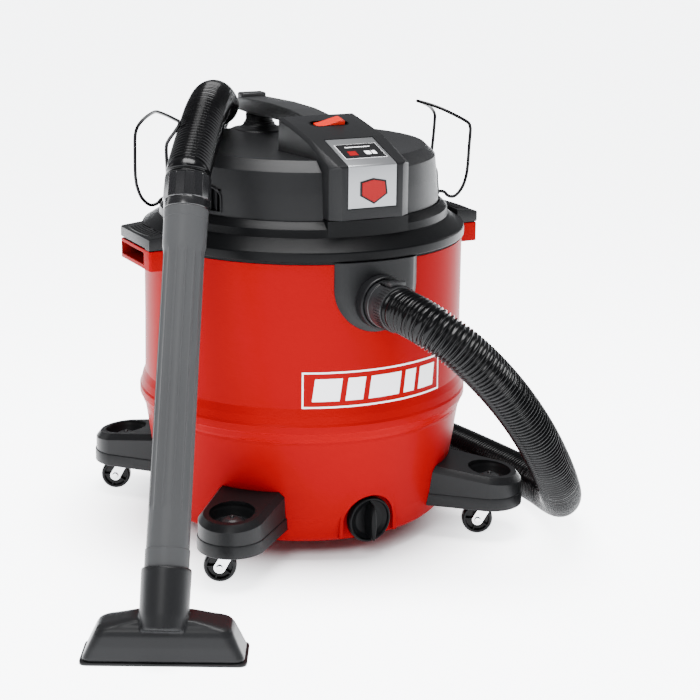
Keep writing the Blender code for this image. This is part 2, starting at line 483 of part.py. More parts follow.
hook_r = hook_leg(1, -0.060) + stay([(0.2284, -0.060, 0.4960), (0.2297, -0.060, 0.5211), (0.2312, -0.060, 0.5430),
                                (0.2306, -0.0595, 0.5500), (0.2258, -0.058, 0.5570),
                                (0.2023, -0.042, 0.5710), (0.1880, -0.024, 0.5780), (0.1760, -0.006, 0.5820),
                                (0.1940, 0.014, 0.5770), (0.2185, 0.036, 0.5680), (0.2321, 0.047, 0.5600),
                                (0.2368, 0.049, 0.5530), (0.2370, 0.049, 0.5460), (0.2354, 0.049, 0.5230),
                                (0.2335, 0.049, 0.5044), (0.2310, 0.049, 0.4900)]) + hook_leg(1, 0.049)[::-1]
hook_l = hook_leg(-1, -0.060) + stay([(-0.2250, -0.060, 0.4950), (-0.2252, -0.060, 0.5150), (-0.2262, -0.060, 0.5467),
                                 (-0.2250, -0.065, 0.5570), (-0.2222, -0.078, 0.5690), (-0.2190, -0.088, 0.5820),
                                 (-0.2190, -0.070, 0.5850), (-0.2165, -0.020, 0.5860), (-0.2145, 0.014, 0.5830),
                                 (-0.2198, 0.044, 0.5680), (-0.2270, 0.049, 0.5520), (-0.2283, 0.049, 0.5230),
                                 (-0.2282, 0.049, 0.4961), (-0.2270, 0.049, 0.4850)]) + hook_leg(-1, 0.049)[::-1]
for name, pts in (("hook_r", hook_r), ("hook_l", hook_l)):
    tube(name, pts, WIRE_R, (0.012, 0.012, 0.013), 0.35, 0.2, res=1)

# ---------------------------------------------------------------- motor and fan under the cover
M0 = MOTOR_Z
FAN_TOP = LEDGE_Z - 0.0006
finish(revolve([(0.0880, M0), (0.0880, FAN_TOP), (0.0520, FAN_TOP), (0.0520, UP + 0.5100), (0, UP + 0.5100), (0, UP + 0.5065),
                (0.0485, UP + 0.5065), (0.0485, FAN_TOP - 0.0004), (0.0120, FAN_TOP - 0.0004), (0.0120, FAN_TOP - 0.0030),
                (0.0840, FAN_TOP - 0.0030), (0.0840, M0)], 32), "motor", (0.10, 0.10, 0.11), 0.6)
finish(revolve([(0, UP + 0.4370), (0.0058, UP + 0.4370), (0.0058, UP + 0.4600), (0.0440, UP + 0.4600), (0.0440, UP + 0.4960), (0.0058, UP + 0.4960),
                (0.0058, UP + 0.5050), (0, UP + 0.5050)], 24), "rotor", ZINC, 0.4, 0.8, origin=(0, 0, UP + 0.46))
finish(revolve([(0.0062, UP + 0.4375), (0.0780, UP + 0.4375), (0.0780, UP + 0.4490), (0.0150, UP + 0.4510), (0.0062, UP + 0.4510)], 32),
       "impeller", SILVER, 0.4, 0.9, origin=(0, 0, UP + 0.444))

# ---------------------------------------------------------------- filter under the lid
CAGE_R = 0.0520
cage = finish(revolve([(0, UP + 0.2700), (0, UP + 0.2740), (CAGE_R - 0.0030, UP + 0.2740), (CAGE_R - 0.0030, UP + 0.4297), (0.0700, UP + 0.4297),
                       (0.0700, UP + 0.4250), (CAGE_R, UP + 0.4250), (CAGE_R, UP + 0.2700)], 32), "filter_cage", BLACK, 0.5)
stud = revolve([(0, UP + 0.2720), (0.0048, UP + 0.2720), (0.0048, UP + 0.2380), (0, UP + 0.2380)][::-1], 16)
boolean(cage, hidden(stud, "add_stud"), 'UNION')
slots = bmesh.new()
for k in range(4):
    box((-0.012, 0.030, UP + 0.290), (0.012, 0.070, UP + 0.345), slots,
        matrix=Matrix.Rotation(math.radians(45 + 90 * k), 4, 'Z'))
boolean(cage, hidden(slots, "cut_slots"), 'DIFFERENCE')
finish(revolve([(0, UP + 0.2745), (0.0240, UP + 0.2780), (0.0380, UP + 0.2900), (0.0420, UP + 0.3060), (0.0380, UP + 0.3220), (0.0240, UP + 0.3340),
                (0, UP + 0.3375)], 20), "float", (0.75, 0.74, 0.70), 0.5, origin=(0, 0, UP + 0.306))
finish(revolve([(CAGE_R + 0.0020, UP + 0.2700), (0.0880, UP + 0.2700), (0.0880, UP + 0.4240), (CAGE_R + 0.0020, UP + 0.4240)], 32),
       "filter", (0.80, 0.78, 0.72), 0.8)
finish(revolve([(0.0055, UP + 0.2640), (0.0880, UP + 0.2640), (0.0890, UP + 0.2655), (0.0880, UP + 0.2690), (0.0055, UP + 0.2690)], 32),
       "filter_plate", BLACK, 0.5)
finish(revolve([(0.0052, UP + 0.2480), (0.0140, UP + 0.2480), (0.0160, UP + 0.2500), (0.0160, UP + 0.2610), (0.0140, UP + 0.2635),
                (0.0052, UP + 0.2635)], 12), "filter_nut", BLACK, 0.5, origin=(0, 0, UP + 0.256))

# ---------------------------------------------------------------- wand, cuff and floor nozzle
NECK = Vector((-0.3555, -0.3658, 0.0480)) - Vector((1, 1, 0)) * OUT
TOP = Vector((-0.2377, -0.1537, 0.4790)) + Vector((-OUT, -OUT, UP))
WAND_DIR = (TOP - NECK).normalized()
wand_m = Matrix.Translation(NECK) @ WAND_DIR.to_track_quat('Z', 'Y').to_matrix().to_4x4()
wand_len = (TOP - NECK).length
CUFF0 = wand_len + 0.0040
CUFF1 = CUFF0 + 0.0420
finish(revolve([(0.0215, 0.0300), (0.0262, 0.0300), (0.0265, 0.0790), (0.0255, 0.0800), (0.0255, wand_len - 0.0460),
                (0.0272, wand_len - 0.0440), (0.0276, wand_len - 0.0080), (0.0280, CUFF0 - 0.0010), (0.0215, CUFF0 - 0.0010)],
               24, matrix=wand_m), "wand", BLACK, 0.35)
finish(revolve([(0.0225, CUFF0 - 0.0007), (0.0285, CUFF0 - 0.0007), (0.0288, CUFF0 + 0.0100), (0.0300, CUFF0 + 0.0120),
                (0.0292, CUFF1), (0.0225, CUFF1)], 24, matrix=wand_m), "hose_cuff", BLACK, 0.35)
noz_turn = Matrix.Rotation(math.radians(-27.6), 4, 'Z')
noz_c = NECK + Vector((0.0035, 0.0060, -0.0480))
noz_m = Matrix.Translation(noz_c) @ noz_turn
body = bmesh.new()
sections = [(0.0040, 0.0950, 0.0300, 0.0), (0.0360, 0.0930, 0.0290, 0.0), (0.0440, 0.0860, 0.0255, 0.0),
            (0.0520, 0.0500, 0.0230, 0.0), (0.0560, 0.0350, 0.0220, 0.0)]
rings = []
for z, hx, hy, oy in sections:
    ring = []
    for px, py, a0 in ((hx, hy, 0), (-hx, hy, 90), (-hx, -hy, 180), (hx, -hy, 270)):
        r = 0.010
        cx, cy = (abs(px) - r) * (1 if px > 0 else -1), (abs(py) - r) * (1 if py > 0 else -1)
        ring += [body.verts.new((q[0], q[1] + oy, z)) for q in arc(cx, cy, r, a0, a0 + 90, 3)]
    rings.append(ring)
body.faces.new(rings[0])
body.faces.new(rings[-1])
for a, b in zip(rings, rings[1:]):
    for i in range(len(a)):
        j = (i + 1) % len(a)
        body.faces.new((a[i], a[j], b[j], b[i]))
bmesh.ops.triangulate(body, faces=[f for f in body.faces if len(f.verts) == 4])
bmesh.ops.transform(body, matrix=noz_m, verts=body.verts)
nozzle = finish(body, "floor_nozzle", BLACK, 0.45)
neck = revolve([(0, -0.0150), (0.0290, -0.0150), (0.0290, 0.0020), (0.0296, 0.0560), (0.0288, 0.0580), (0, 0.0580)],
               32, matrix=wand_m)
boolean(nozzle, hidden(neck, "add_neck"), 'UNION')
mouth = box((-0.0860, -0.0220, -0.01), (0.0860, 0.0220, 0.0330), matrix=noz_m)
boolean(nozzle, hidden(mouth, "cut_mouth"), 'DIFFERENCE')
socket = revolve([(0, -0.0180), (0.0100, -0.0180), (0.0213, 0.0290), (0.0271, 0.0290), (0.0272, 0.0700), (0, 0.0700)],
                 32, matrix=wand_m)
boolean(nozzle, hidden(socket, "cut_socket"), 'DIFFERENCE')
lip = prism([(-0.0970, -0.0320), (0.0970, -0.0320), (0.0970, 0.0320), (-0.0970, 0.0320)], 0.0003, 0.0037, 'Z', matrix=noz_m)
nozzle_lip = finish(lip, "nozzle_lip", (0.02, 0.02, 0.02), 0.6)
lip_in = box((-0.0870, -0.0230, -0.01), (0.0870, 0.0230, 0.02), matrix=noz_m)
boolean(nozzle_lip, hidden(lip_in, "cut_lip"), 'DIFFERENCE')

# ---------------------------------------------------------------- hose, laid from the inlet to the wand's cuff
cuff_end = NECK + WAND_DIR * (CUFF1 + GAP)
FLOOR_Z = HOSE_D / 2 + 0.0008
HOSE_ROUTE = [(0.0, HOSE_START_Y - 0.0080, INLET_Z), (0.006, -0.3080, 0.3540), (0.021, -0.3330, 0.3420), (0.050, -0.3530, 0.3170),
              (0.086, -0.3610, 0.2810), (0.126, -0.3570, 0.2370), (0.166, -0.3450, 0.1880), (0.206, -0.3220, 0.1370),
              (0.243, -0.2900, 0.0920), (0.278, -0.2470, 0.0570), (0.305, -0.1950, 0.0360), (0.319, -0.1350, FLOOR_Z),
              (0.3200, -0.0650, FLOOR_Z), (0.3140, 0.0150, FLOOR_Z), (0.3060, 0.0900, FLOOR_Z), (0.2930, 0.1650, FLOOR_Z),
              (0.2680, 0.2380, FLOOR_Z), (0.2230, 0.2980, FLOOR_Z), (0.1620, 0.3330, 0.0340), (0.0980, 0.3420, 0.0560),
              (0.0400, 0.3360, 0.1000), (0.0020, 0.3240, 0.1600), (-0.0200, 0.3100, 0.2260), (-0.0330, 0.2980, 0.2960),
              (-0.0400, 0.2870, 0.3660), (-0.0430, 0.2750, 0.4360), (-0.0460, 0.2500, 0.4980), (-0.0520, 0.2040, 0.5460),
              (-0.0680, 0.1420, 0.5690), (-0.0950, 0.0770, 0.5800), (-0.1290, 0.0160, 0.5940), (-0.1620, -0.0380, 0.5850),
              (-0.1920, -0.0830, 0.5600)]
HOSE_ROUTE.append(tuple(cuff_end + WAND_DIR * 0.0080))
path = smooth_path(HOSE_ROUTE, 0.050)
path = [Vector((0, HOSE_START_Y, INLET_Z))] + path + [cuff_end]
tube("hose", path, HOSE_D / 2, (0.010, 0.010, 0.011), 0.25, 0.0, res=3)

for ob in nodes.values():
    ob.hide_render = False
print("nodes", len(nodes), "hose length", round(sum((b - a).length for a, b in zip(path, path[1:])), 3))
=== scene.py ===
# Looks of a wet and dry shop vacuum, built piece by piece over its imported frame.
# Metres, +Z up, front is -Y, origin on the floor under the tank's axis.
import bpy
import bmesh
import math
from mathutils import Matrix, Vector


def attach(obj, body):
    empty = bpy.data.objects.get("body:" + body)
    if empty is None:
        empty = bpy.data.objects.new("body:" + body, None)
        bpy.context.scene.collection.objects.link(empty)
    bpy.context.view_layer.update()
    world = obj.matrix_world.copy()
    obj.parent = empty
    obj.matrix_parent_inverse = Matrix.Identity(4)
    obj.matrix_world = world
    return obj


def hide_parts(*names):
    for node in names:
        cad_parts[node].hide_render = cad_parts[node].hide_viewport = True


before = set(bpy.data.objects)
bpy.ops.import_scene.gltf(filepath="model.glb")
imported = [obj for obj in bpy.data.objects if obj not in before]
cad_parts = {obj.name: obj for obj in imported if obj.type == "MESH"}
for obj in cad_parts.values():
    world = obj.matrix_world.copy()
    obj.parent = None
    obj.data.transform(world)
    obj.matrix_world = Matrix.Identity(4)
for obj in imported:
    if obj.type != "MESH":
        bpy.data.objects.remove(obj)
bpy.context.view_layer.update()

# ---------------------------------------------------------------- camera
# A long lens at eye height, left of the front, with the picture plane slid down a little.
camera_data = bpy.data.cameras.new("camera")
camera_data.sensor_width = 36
camera_data.lens = 87.711
camera_data.shift_y = -0.15
camera = bpy.data.objects.new("camera", camera_data)
bpy.context.scene.collection.objects.link(camera)
camera_place = Matrix.Translation((-1.0254, -2.0893, 0.8817))
camera_heading = Matrix.Rotation(math.radians(-27.747), 4, 'Z')
camera_tilt = Matrix.Rotation(math.radians(90 - 11.963), 4, 'X')
camera_roll = Matrix.Rotation(math.radians(0.721), 4, 'Z')
camera.matrix_world = camera_place @ camera_heading @ camera_tilt @ camera_roll
bpy.context.scene.camera = camera

# ---------------------------------------------------------------- studio
# A wide white floor under an even white room, with a large soft lamp above the left shoulder,
# a smaller key lamp at the left of the camera and a faint strip on each side for the rims. The
# floor glows, as a lit sheet does, but not under the tank, so that a soft shadow stays there.
floor_mesh = bpy.data.meshes.new("studio_floor")
floor_mesh.from_pydata([(-40, -40, 0), (40, -40, 0), (40, 40, 0), (-40, 40, 0)], [], [(0, 1, 2, 3)])
studio_floor = bpy.data.objects.new("studio_floor", floor_mesh)
bpy.context.scene.collection.objects.link(studio_floor)
floor_paint = bpy.data.materials.new("studio floor")
floor_paint.use_nodes = True
floor_nodes = floor_paint.node_tree.nodes
floor_shader = floor_nodes["Principled BSDF"]
floor_shader.inputs["Base Color"].default_value = (0.90, 0.91, 0.93, 1)
floor_shader.inputs["Roughness"].default_value = 0.7
floor_shader.inputs["Emission Color"].default_value = (0.96, 0.98, 1.0, 1)
floor_place = floor_nodes.new("ShaderNodeTexCoord")
from_middle = floor_nodes.new("ShaderNodeVectorMath")
from_middle.operation = 'LENGTH'
floor_paint.node_tree.links.new(floor_place.outputs["Object"], from_middle.inputs[0])
floor_glow = floor_nodes.new("ShaderNodeMapRange")
floor_glow.interpolation_type = 'SMOOTHSTEP'
floor_glow.inputs["From Min"].default_value = 0.15
floor_glow.inputs["From Max"].default_value = 0.40
floor_glow.inputs["To Max"].default_value = 6.0
floor_paint.node_tree.links.new(from_middle.outputs["Value"], floor_glow.inputs["Value"])
floor_paint.node_tree.links.new(floor_glow.outputs["Result"], floor_shader.inputs["Emission Strength"])
floor_mesh.materials.append(floor_paint)

room = bpy.data.worlds.new("studio room")
bpy.context.scene.world = room
room.use_nodes = True
room.node_tree.nodes["Background"].inputs["Color"].default_value = (0.94, 0.96, 1.0, 1)
room.node_tree.nodes["Background"].inputs["Strength"].default_value = 0.42


def lamp(name, place, target, width, height, power):
    data = bpy.data.lights.new(name, 'AREA')
    data.shape = 'RECTANGLE'
    data.size, data.size_y = width, height
    data.energy = power
    ob = bpy.data.objects.new(name, data)
    ob.location = place
    ob.rotation_mode = 'QUATERNION'
    ob.rotation_quaternion = (Vector(target) - Vector(place)).to_track_quat('-Z', 'Y')
    bpy.context.scene.collection.objects.link(ob)


lamp("overhead box", (-0.15, -0.25, 2.1), (0, 0, 0.3), 1.3, 0.8, 120)
lamp("key box", (-1.7, -1.8, 2.0), (0, 0, 0.3), 0.9, 1.2, 66)
lamp("right strip", (2.0, 0.3, 0.9), (0, 0, 0.3), 0.4, 1.4, 9)
lamp("left back strip", (-1.6, 1.6, 0.9), (0, 0, 0.3), 0.4, 1.4, 9)


# ---------------------------------------------------------------- hose
# A ribbed hose of glossy black soft plastic, wound over a spiral former, so its wall is a row of
# round ribs. It is pushed over the connector at the tank and into the wand's cuff at its other end.
WEAR = 0.10                # how far the gloss drifts up and down over a surface


def moulded(name, colour, rough, grain=900.0, relief=0.12, drift=0.10, metal=0.0, shine=0.10):
    """Moulded plastic: a fine grain in the surface, and slow changes of colour and gloss."""
    mat = bpy.data.materials.new(name)
    mat.use_nodes = True
    tree = mat.node_tree
    shader = tree.nodes["Principled BSDF"]
    shader.inputs["Metallic"].default_value = metal
    shader.inputs["Specular IOR Level"].default_value = shine
    place = tree.nodes.new("ShaderNodeTexCoord")
    clouds = tree.nodes.new("ShaderNodeTexNoise")
    clouds.inputs["Scale"].default_value = 9.0
    clouds.inputs["Detail"].default_value = 4.0
    tree.links.new(place.outputs["Object"], clouds.inputs["Vector"])
    tint = tree.nodes.new("ShaderNodeMix")
    tint.data_type = 'RGBA'
    tint.inputs["A"].default_value = (*[c * (1 - drift) for c in colour], 1)
    tint.inputs["B"].default_value = (*[min(1.0, c * (1 + drift)) for c in colour], 1)
    tree.links.new(clouds.outputs["Fac"], tint.inputs["Factor"])
    tree.links.new(tint.outputs["Result"], shader.inputs["Base Color"])
    gloss = tree.nodes.new("ShaderNodeMapRange")
    gloss.inputs["To Min"].default_value = rough * (1 - WEAR)
    gloss.inputs["To Max"].default_value = rough * (1 + WEAR)
    tree.links.new(clouds.outputs["Fac"], gloss.inputs["Value"])
    tree.links.new(gloss.outputs["Result"], shader.inputs["Roughness"])
    fine = tree.nodes.new("ShaderNodeTexNoise")
    fine.inputs["Scale"].default_value = grain
    fine.inputs["Detail"].default_value = 2.0
    tree.links.new(place.outputs["Object"], fine.inputs["Vector"])
    bump = tree.nodes.new("ShaderNodeBump")
    bump.inputs["Strength"].default_value = relief
    bump.inputs["Distance"].default_value = 0.0004
    tree.links.new(fine.outputs["Fac"], bump.inputs["Height"])
    tree.links.new(bump.outputs["Normal"], shader.inputs["Normal"])
    return mat


def smooth_route(points, step):
    """Even points along a smooth curve through the given ones."""
    pts = [Vector(p) for p in points]
    pts = [pts[0] * 2 - pts[1]] + pts + [pts[-1] * 2 - pts[-2]]
    fine = []
    for i in range(1, len(pts) - 2):
        a, b, c, d = pts[i - 1:i + 3]
        for k in range(24):
            t = k / 24
            fine.append(0.5 * (2 * b + (c - a) * t + (2 * a - 5 * b + 4 * c - d) * t * t
                               + (3 * b - a - 3 * c + d) * t ** 3))
    fine.append(pts[-2])
    run = [0.0]
    for a, b in zip(fine, fine[1:]):
        run.append(run[-1] + (b - a).length)
    count = max(2, round(run[-1] / step))
    out, j = [], 0
    for k in range(count + 1):
        want = run[-1] * k / count
        while j < len(fine) - 2 and run[j + 1] < want:
            j += 1
        part = (want - run[j]) / max(run[j + 1] - run[j], 1e-9)
        out.append(fine[j].lerp(fine[j + 1], min(max(part, 0), 1)))
    return out


def tree_with_inputs(name, inputs):
    """An empty node tree with a geometry input and output and the named inputs."""
    tree = bpy.data.node_groups.new(name, 'GeometryNodeTree')
    face = tree.interface
    face.new_socket("Geometry", in_out='INPUT', socket_type='NodeSocketGeometry')
    face.new_socket("Geometry", in_out='OUTPUT', socket_type='NodeSocketGeometry')
    for label, kind, value in inputs:
        socket = face.new_socket(label, in_out='INPUT', socket_type='NodeSocket' + kind)
        if value is not None:
            socket.default_value = value
    return tree, tree.nodes.new('NodeGroupInput'), tree.nodes.new('NodeGroupOutput')


def grown(ob, tree, values, name):
    """Runs a node tree on an object with its inputs set, and returns the plain mesh piece."""
    mod = ob.modifiers.new(tree.name, 'NODES')
    mod.node_group = tree
    for item in tree.interface.items_tree:
        if item.item_type == 'SOCKET' and item.in_out == 'INPUT' and item.name in values:
            mod[item.identifier] = values[item.name]
    depsgraph = bpy.context.evaluated_depsgraph_get()
    mesh = bpy.data.meshes.new_from_object(ob.evaluated_get(depsgraph), depsgraph=depsgraph)
    mesh.name = name
    bpy.data.objects.remove(ob, do_unlink=True)
    piece = bpy.data.objects.new(name, mesh)
    bpy.context.scene.collection.objects.link(piece)
    return piece


def fixed_on(ob, body, replaces=()):
    """Hangs a finished piece on its body and hides the frame nodes that it stands for."""
    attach(ob, body)
    if replaces:
        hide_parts(*replaces)
    return ob


HOSE_D = 0.0570
RIB_PITCH = 0.0055
RIB_DEPTH = 0.0030
INLET_Z = 0.3580
HOSE_START_Y = -0.2790
FLOOR_Z = HOSE_D / 2 + 0.0008
WAND_FOOT = Vector((-0.3555, -0.3658, 0.0480))
WAND_TOP = Vector((-0.2377, -0.1537, 0.4790))
WAND_DIR = (WAND_TOP - WAND_FOOT).normalized()
WAND_LENGTH = (WAND_TOP - WAND_FOOT).length
CUFF_LOW = WAND_LENGTH + 0.0040
CUFF_HIGH = CUFF_LOW + 0.0420
cuff_end = WAND_FOOT + WAND_DIR * (CUFF_HIGH + 0.0003)
HOSE_ROUTE = [(0.0, HOSE_START_Y - 0.0080, INLET_Z), (0.006, -0.3080, 0.3540), (0.021, -0.3330, 0.3420),
              (0.050, -0.3530, 0.3170),
              (0.086, -0.3610, 0.2810), (0.126, -0.3570, 0.2370), (0.166, -0.3450, 0.1880), (0.206, -0.3220,
                      0.1370),
              (0.243, -0.2900, 0.0920), (0.278, -0.2470, 0.0570), (0.305, -0.1950, 0.0360), (0.319, -0.1350,
                      FLOOR_Z),
              (0.3200, -0.0650, FLOOR_Z), (0.3140, 0.0150, FLOOR_Z), (0.3060, 0.0900, FLOOR_Z), (0.2930,
                      0.1650, FLOOR_Z),
              (0.2680, 0.2380, FLOOR_Z), (0.2230, 0.2980, FLOOR_Z), (0.1620, 0.3330, 0.0340), (0.0980,
                      0.3420, 0.0560),
              (0.0400, 0.3360, 0.1000), (0.0020, 0.3240, 0.1600), (-0.0200, 0.3100, 0.2260), (-0.0330,
                      0.2980, 0.2960),
              (-0.0400, 0.2870, 0.3660), (-0.0430, 0.2750, 0.4360), (-0.0460, 0.2500, 0.4980), (-0.0520,
                      0.2040, 0.5460),
              (-0.0680, 0.1420, 0.5690), (-0.0950, 0.0770, 0.5800), (-0.1290, 0.0160, 0.5940), (-0.1620,
                      -0.0380, 0.5850),
              (-0.1920, -0.0830, 0.5600)]
HOSE_ROUTE.append(tuple(cuff_end + WAND_DIR * 0.0080))
route = smooth_route(HOSE_ROUTE, 0.0100)
route = [Vector((0, HOSE_START_Y, INLET_Z))] + route + [cuff_end]

hose_black = moulded("hose gloss black", (0.0014, 0.0014, 0.0016), 0.20, grain=500, relief=0.02, shine=0.11)
rib_tree, rib_in, rib_out = tree_with_inputs("hose ribs", [
    ("Radius", 'Float', 0.0285), ("Rib pitch", 'Float', 0.0055), ("Rib depth", 'Float', 0.003),
    ("Step", 'Float', 0.0009), ("Sides", 'Int', 32), ("Material", 'Material', None)])
make, link = rib_tree.nodes.new, rib_tree.links.new
even = make('GeometryNodeResampleCurve')
even.mode = 'LENGTH'
link(rib_in.outputs["Geometry"], even.inputs["Curve"])
link(rib_in.outputs["Step"], even.inputs["Length"])
along = make('GeometryNodeSplineParameter')
turns = make('ShaderNodeMath')
turns.operation = 'DIVIDE'
link(along.outputs["Length"], turns.inputs[0])
link(rib_in.outputs["Rib pitch"], turns.inputs[1])
angle = make('ShaderNodeMath')
angle.operation = 'MULTIPLY'
angle.inputs[1].default_value = 2 * math.pi
link(turns.outputs[0], angle.inputs[0])
wave = make('ShaderNodeMath')
wave.operation = 'COSINE'
link(angle.outputs[0], wave.inputs[0])
dip = make('ShaderNodeMapRange')
dip.inputs["From Min"].default_value = -0.75
dip.inputs["From Max"].default_value = 1.0
dip.inputs["To Min"].default_value = 0.0
link(wave.outputs[0], dip.inputs["Value"])
link(rib_in.outputs["Rib depth"], dip.inputs["To Max"])
reach = make('ShaderNodeMath')
reach.operation = 'SUBTRACT'
link(rib_in.outputs["Radius"], reach.inputs[0])
link(dip.outputs["Result"], reach.inputs[1])
ring = make('GeometryNodeCurvePrimitiveCircle')
ring.inputs["Radius"].default_value = 1.0
link(rib_in.outputs["Sides"], ring.inputs["Resolution"])
swept = make('GeometryNodeCurveToMesh')
swept.inputs["Fill Caps"].default_value = True
link(ring.outputs["Curve"], swept.inputs["Profile Curve"])
if "Scale" in swept.inputs:
    link(even.outputs["Curve"], swept.inputs["Curve"])
    link(reach.outputs[0], swept.inputs["Scale"])
else:
    widen = make('GeometryNodeSetCurveRadius')
    link(even.outputs["Curve"], widen.inputs["Curve"])
    link(reach.outputs[0], widen.inputs["Radius"])
    link(widen.outputs["Curve"], swept.inputs["Curve"])
flat = make('GeometryNodeSetShadeSmooth')
link(swept.outputs["Mesh"], flat.inputs["Geometry"])
real = make('GeometryNodeRealizeInstances')
link(flat.outputs["Geometry"], real.inputs["Geometry"])
paint = make('GeometryNodeSetMaterial')
link(real.outputs["Geometry"], paint.inputs["Geometry"])
link(rib_in.outputs["Material"], paint.inputs["Material"])
link(paint.outputs["Geometry"], rib_out.inputs["Geometry"])

line = bpy.data.curves.new("hose line", 'CURVE')
line.dimensions = '3D'
spline = line.splines.new('POLY')
spline.points.add(len(route) - 1)
for point, place in zip(spline.points, route):
    point.co = (*place, 1)
hose = bpy.data.objects.new("hose line", line)
bpy.context.scene.collection.objects.link(hose)
hose = grown(hose, rib_tree, {"Radius": HOSE_D / 2, "Rib pitch": RIB_PITCH, "Rib depth": RIB_DEPTH,
                             "Step": RIB_PITCH / 6, "Sides": 32, "Material": hose_black}, "ribbed_hose")
fixed_on(hose, "tank", ["hose"])


# ---------------------------------------------------------------- hose connector and its tab
# The hard black end that pushes into the inlet: a smooth neck with two L-shaped slits for its
# spring tab, a wider grip with fine lengthwise ribs, and the flared tab on top that releases it.
def finished(bm, name, material, smooth=32, merge=True):
    """Turns a bmesh into a plain piece with smooth faces and sharp edges past the angle."""
    if merge:
        bmesh.ops.remove_doubles(bm, verts=bm.verts, dist=1e-6)
        bmesh.ops.recalc_face_normals(bm, faces=bm.faces)
    mesh = bpy.data.meshes.new(name)
    bm.to_mesh(mesh)
    bm.free()
    mesh.materials.append(material)
    mesh.shade_smooth()
    mesh.set_sharp_from_angle(angle=math.radians(smooth))
    ob = bpy.data.objects.new(name, mesh)
    bpy.context.scene.collection.objects.link(ob)
    return ob


def softened(outline, radius, steps=3, closed=True):
    """Rounds the corners of an outline of 2-D points; a point may carry its own radius as a third number."""
    out, n = [], len(outline)
    for i, p in enumerate(outline):
        r = p[2] if len(p) > 2 else radius
        here = Vector(p[:2])
        if (not closed and i in (0, n - 1)) or r <= 0:
            out.append(tuple(here))
            continue
        to_a = Vector(outline[i - 1][:2]) - here
        to_b = Vector(outline[(i + 1) % n][:2]) - here
        if to_a.length < 1e-7 or to_b.length < 1e-7:
            out.append(tuple(here))
            continue
        half = to_a.angle(to_b) / 2
        back = min(r / max(math.tan(half), 0.05), 0.45 * to_a.length, 0.45 * to_b.length)
        a, b = here + to_a.normalized() * back, here + to_b.normalized() * back
        for k in range(steps + 1):
            t = k / steps
            out.append(tuple(a * (1 - t) ** 2 + here * (2 * t * (1 - t)) + b * t * t))
    return out


def spun(profile, sides, matrix=None, bm=None):
    """A closed outline of (radius, height) turned about Z; radius 0 makes a pole."""
    bm = bm or bmesh.new()
    rings = []
    for r, z in profile:
        if r < 1e-7:
            rings.append([bm.verts.new((0, 0, z))])
        else:
            rings.append([bm.verts.new((r * math.cos(2 * math.pi * k / sides), r
                                        * math.sin(2 * math.pi * k / sides), z))
                          for k in range(sides)])
    for i, a in enumerate(rings):
        b = rings[(i + 1) % len(rings)]
        for k in range(sides):
            j = (k + 1) % sides
            if len(a) == 1 and len(b) == 1:
                break
            if len(a) == 1:
                bm.faces.new((a[0], b[j], b[k]))
            elif len(b) == 1:
                bm.faces.new((a[k], a[j], b[0]))
            else:
                bm.faces.new((a[k], a[j], b[j], b[k]))
    if matrix is not None:
        bmesh.ops.transform(bm, matrix=matrix, verts=[v for r in rings for v in r])
    return bm


def slab(outline, low, high, axis='Z', soft=0.0, matrix=None, bm=None, steps=2):
    """A flat outline made solid along an axis; soft rounds its edges.

    X takes (y, z), Y takes (x, z), Z takes (x, y)."""
    own = bmesh.new()

    def put(p, h):
        return {'X': (h, p[0], p[1]), 'Y': (p[0], h, p[1]), 'Z': (p[0], p[1], h)}[axis]
    a = [own.verts.new(put(p, low)) for p in outline]
    b = [own.verts.new(put(p, high)) for p in outline]
    own.faces.new(a)
    own.faces.new(b)
    for i in range(len(outline)):
        j = (i + 1) % len(outline)
        own.faces.new((a[i], a[j], b[j], b[i]))
    bmesh.ops.recalc_face_normals(own, faces=own.faces)
    if soft:
        sharp = [e for e in own.edges if len(e.link_faces) == 2 and e.calc_face_angle() > math.radians(28)]
        bmesh.ops.bevel(own, geom=sharp, offset=soft, segments=steps, affect='EDGES', profile=0.5,
                        clamp_overlap=True)
    if matrix is not None:
        bmesh.ops.transform(own, matrix=matrix, verts=own.verts)
    if bm is None:
        return own
    spare = bpy.data.meshes.new("spare")
    own.to_mesh(spare)
    own.free()
    bm.from_mesh(spare)
    bpy.data.meshes.remove(spare)
    return bm


def block(low, high, soft=0.0, matrix=None, bm=None, steps=2):
    return slab([(low[0], low[1]), (high[0], low[1]), (high[0], high[1]), (low[0], high[1])], low[2],
                high[2],
                'Z', soft, matrix, bm, steps)


def arc(cx, cy, r, start, end, steps):
    return [(cx + r * math.cos(math.radians(start + (end - start) * k / steps)),
             cy + r * math.sin(math.radians(start + (end - start) * k / steps))) for k in range(steps + 1)]


def carved(ob, tools, smooth=32):
    """Cuts, joins or trims a piece with other meshes, one after another, and keeps the plain result."""
    for operation, bm in tools:
        bmesh.ops.recalc_face_normals(bm, faces=bm.faces)
        mesh = bpy.data.meshes.new("tool")
        bm.to_mesh(mesh)
        bm.free()
        tool = bpy.data.objects.new("tool", mesh)
        bpy.context.scene.collection.objects.link(tool)
        mod = ob.modifiers.new(operation, 'BOOLEAN')
        mod.operation = operation
        mod.solver = 'EXACT'
        mod.object = tool
        depsgraph = bpy.context.evaluated_depsgraph_get()
        result = bpy.data.meshes.new_from_object(ob.evaluated_get(depsgraph), depsgraph=depsgraph)
        ob.modifiers.clear()
        ob.data = result
        bpy.data.objects.remove(tool, do_unlink=True)
    ob.data.shade_smooth()
    ob.data.set_sharp_from_angle(angle=math.radians(smooth))
    return ob


FORWARD = Matrix.Rotation(math.radians(90), 4, 'X')        # a spun outline's +Z then points to the front


def at(x, y, z, turn=None):
    return Matrix.Translation((x, y, z)) @ turn if turn is not None else Matrix.Translation((x, y, z))


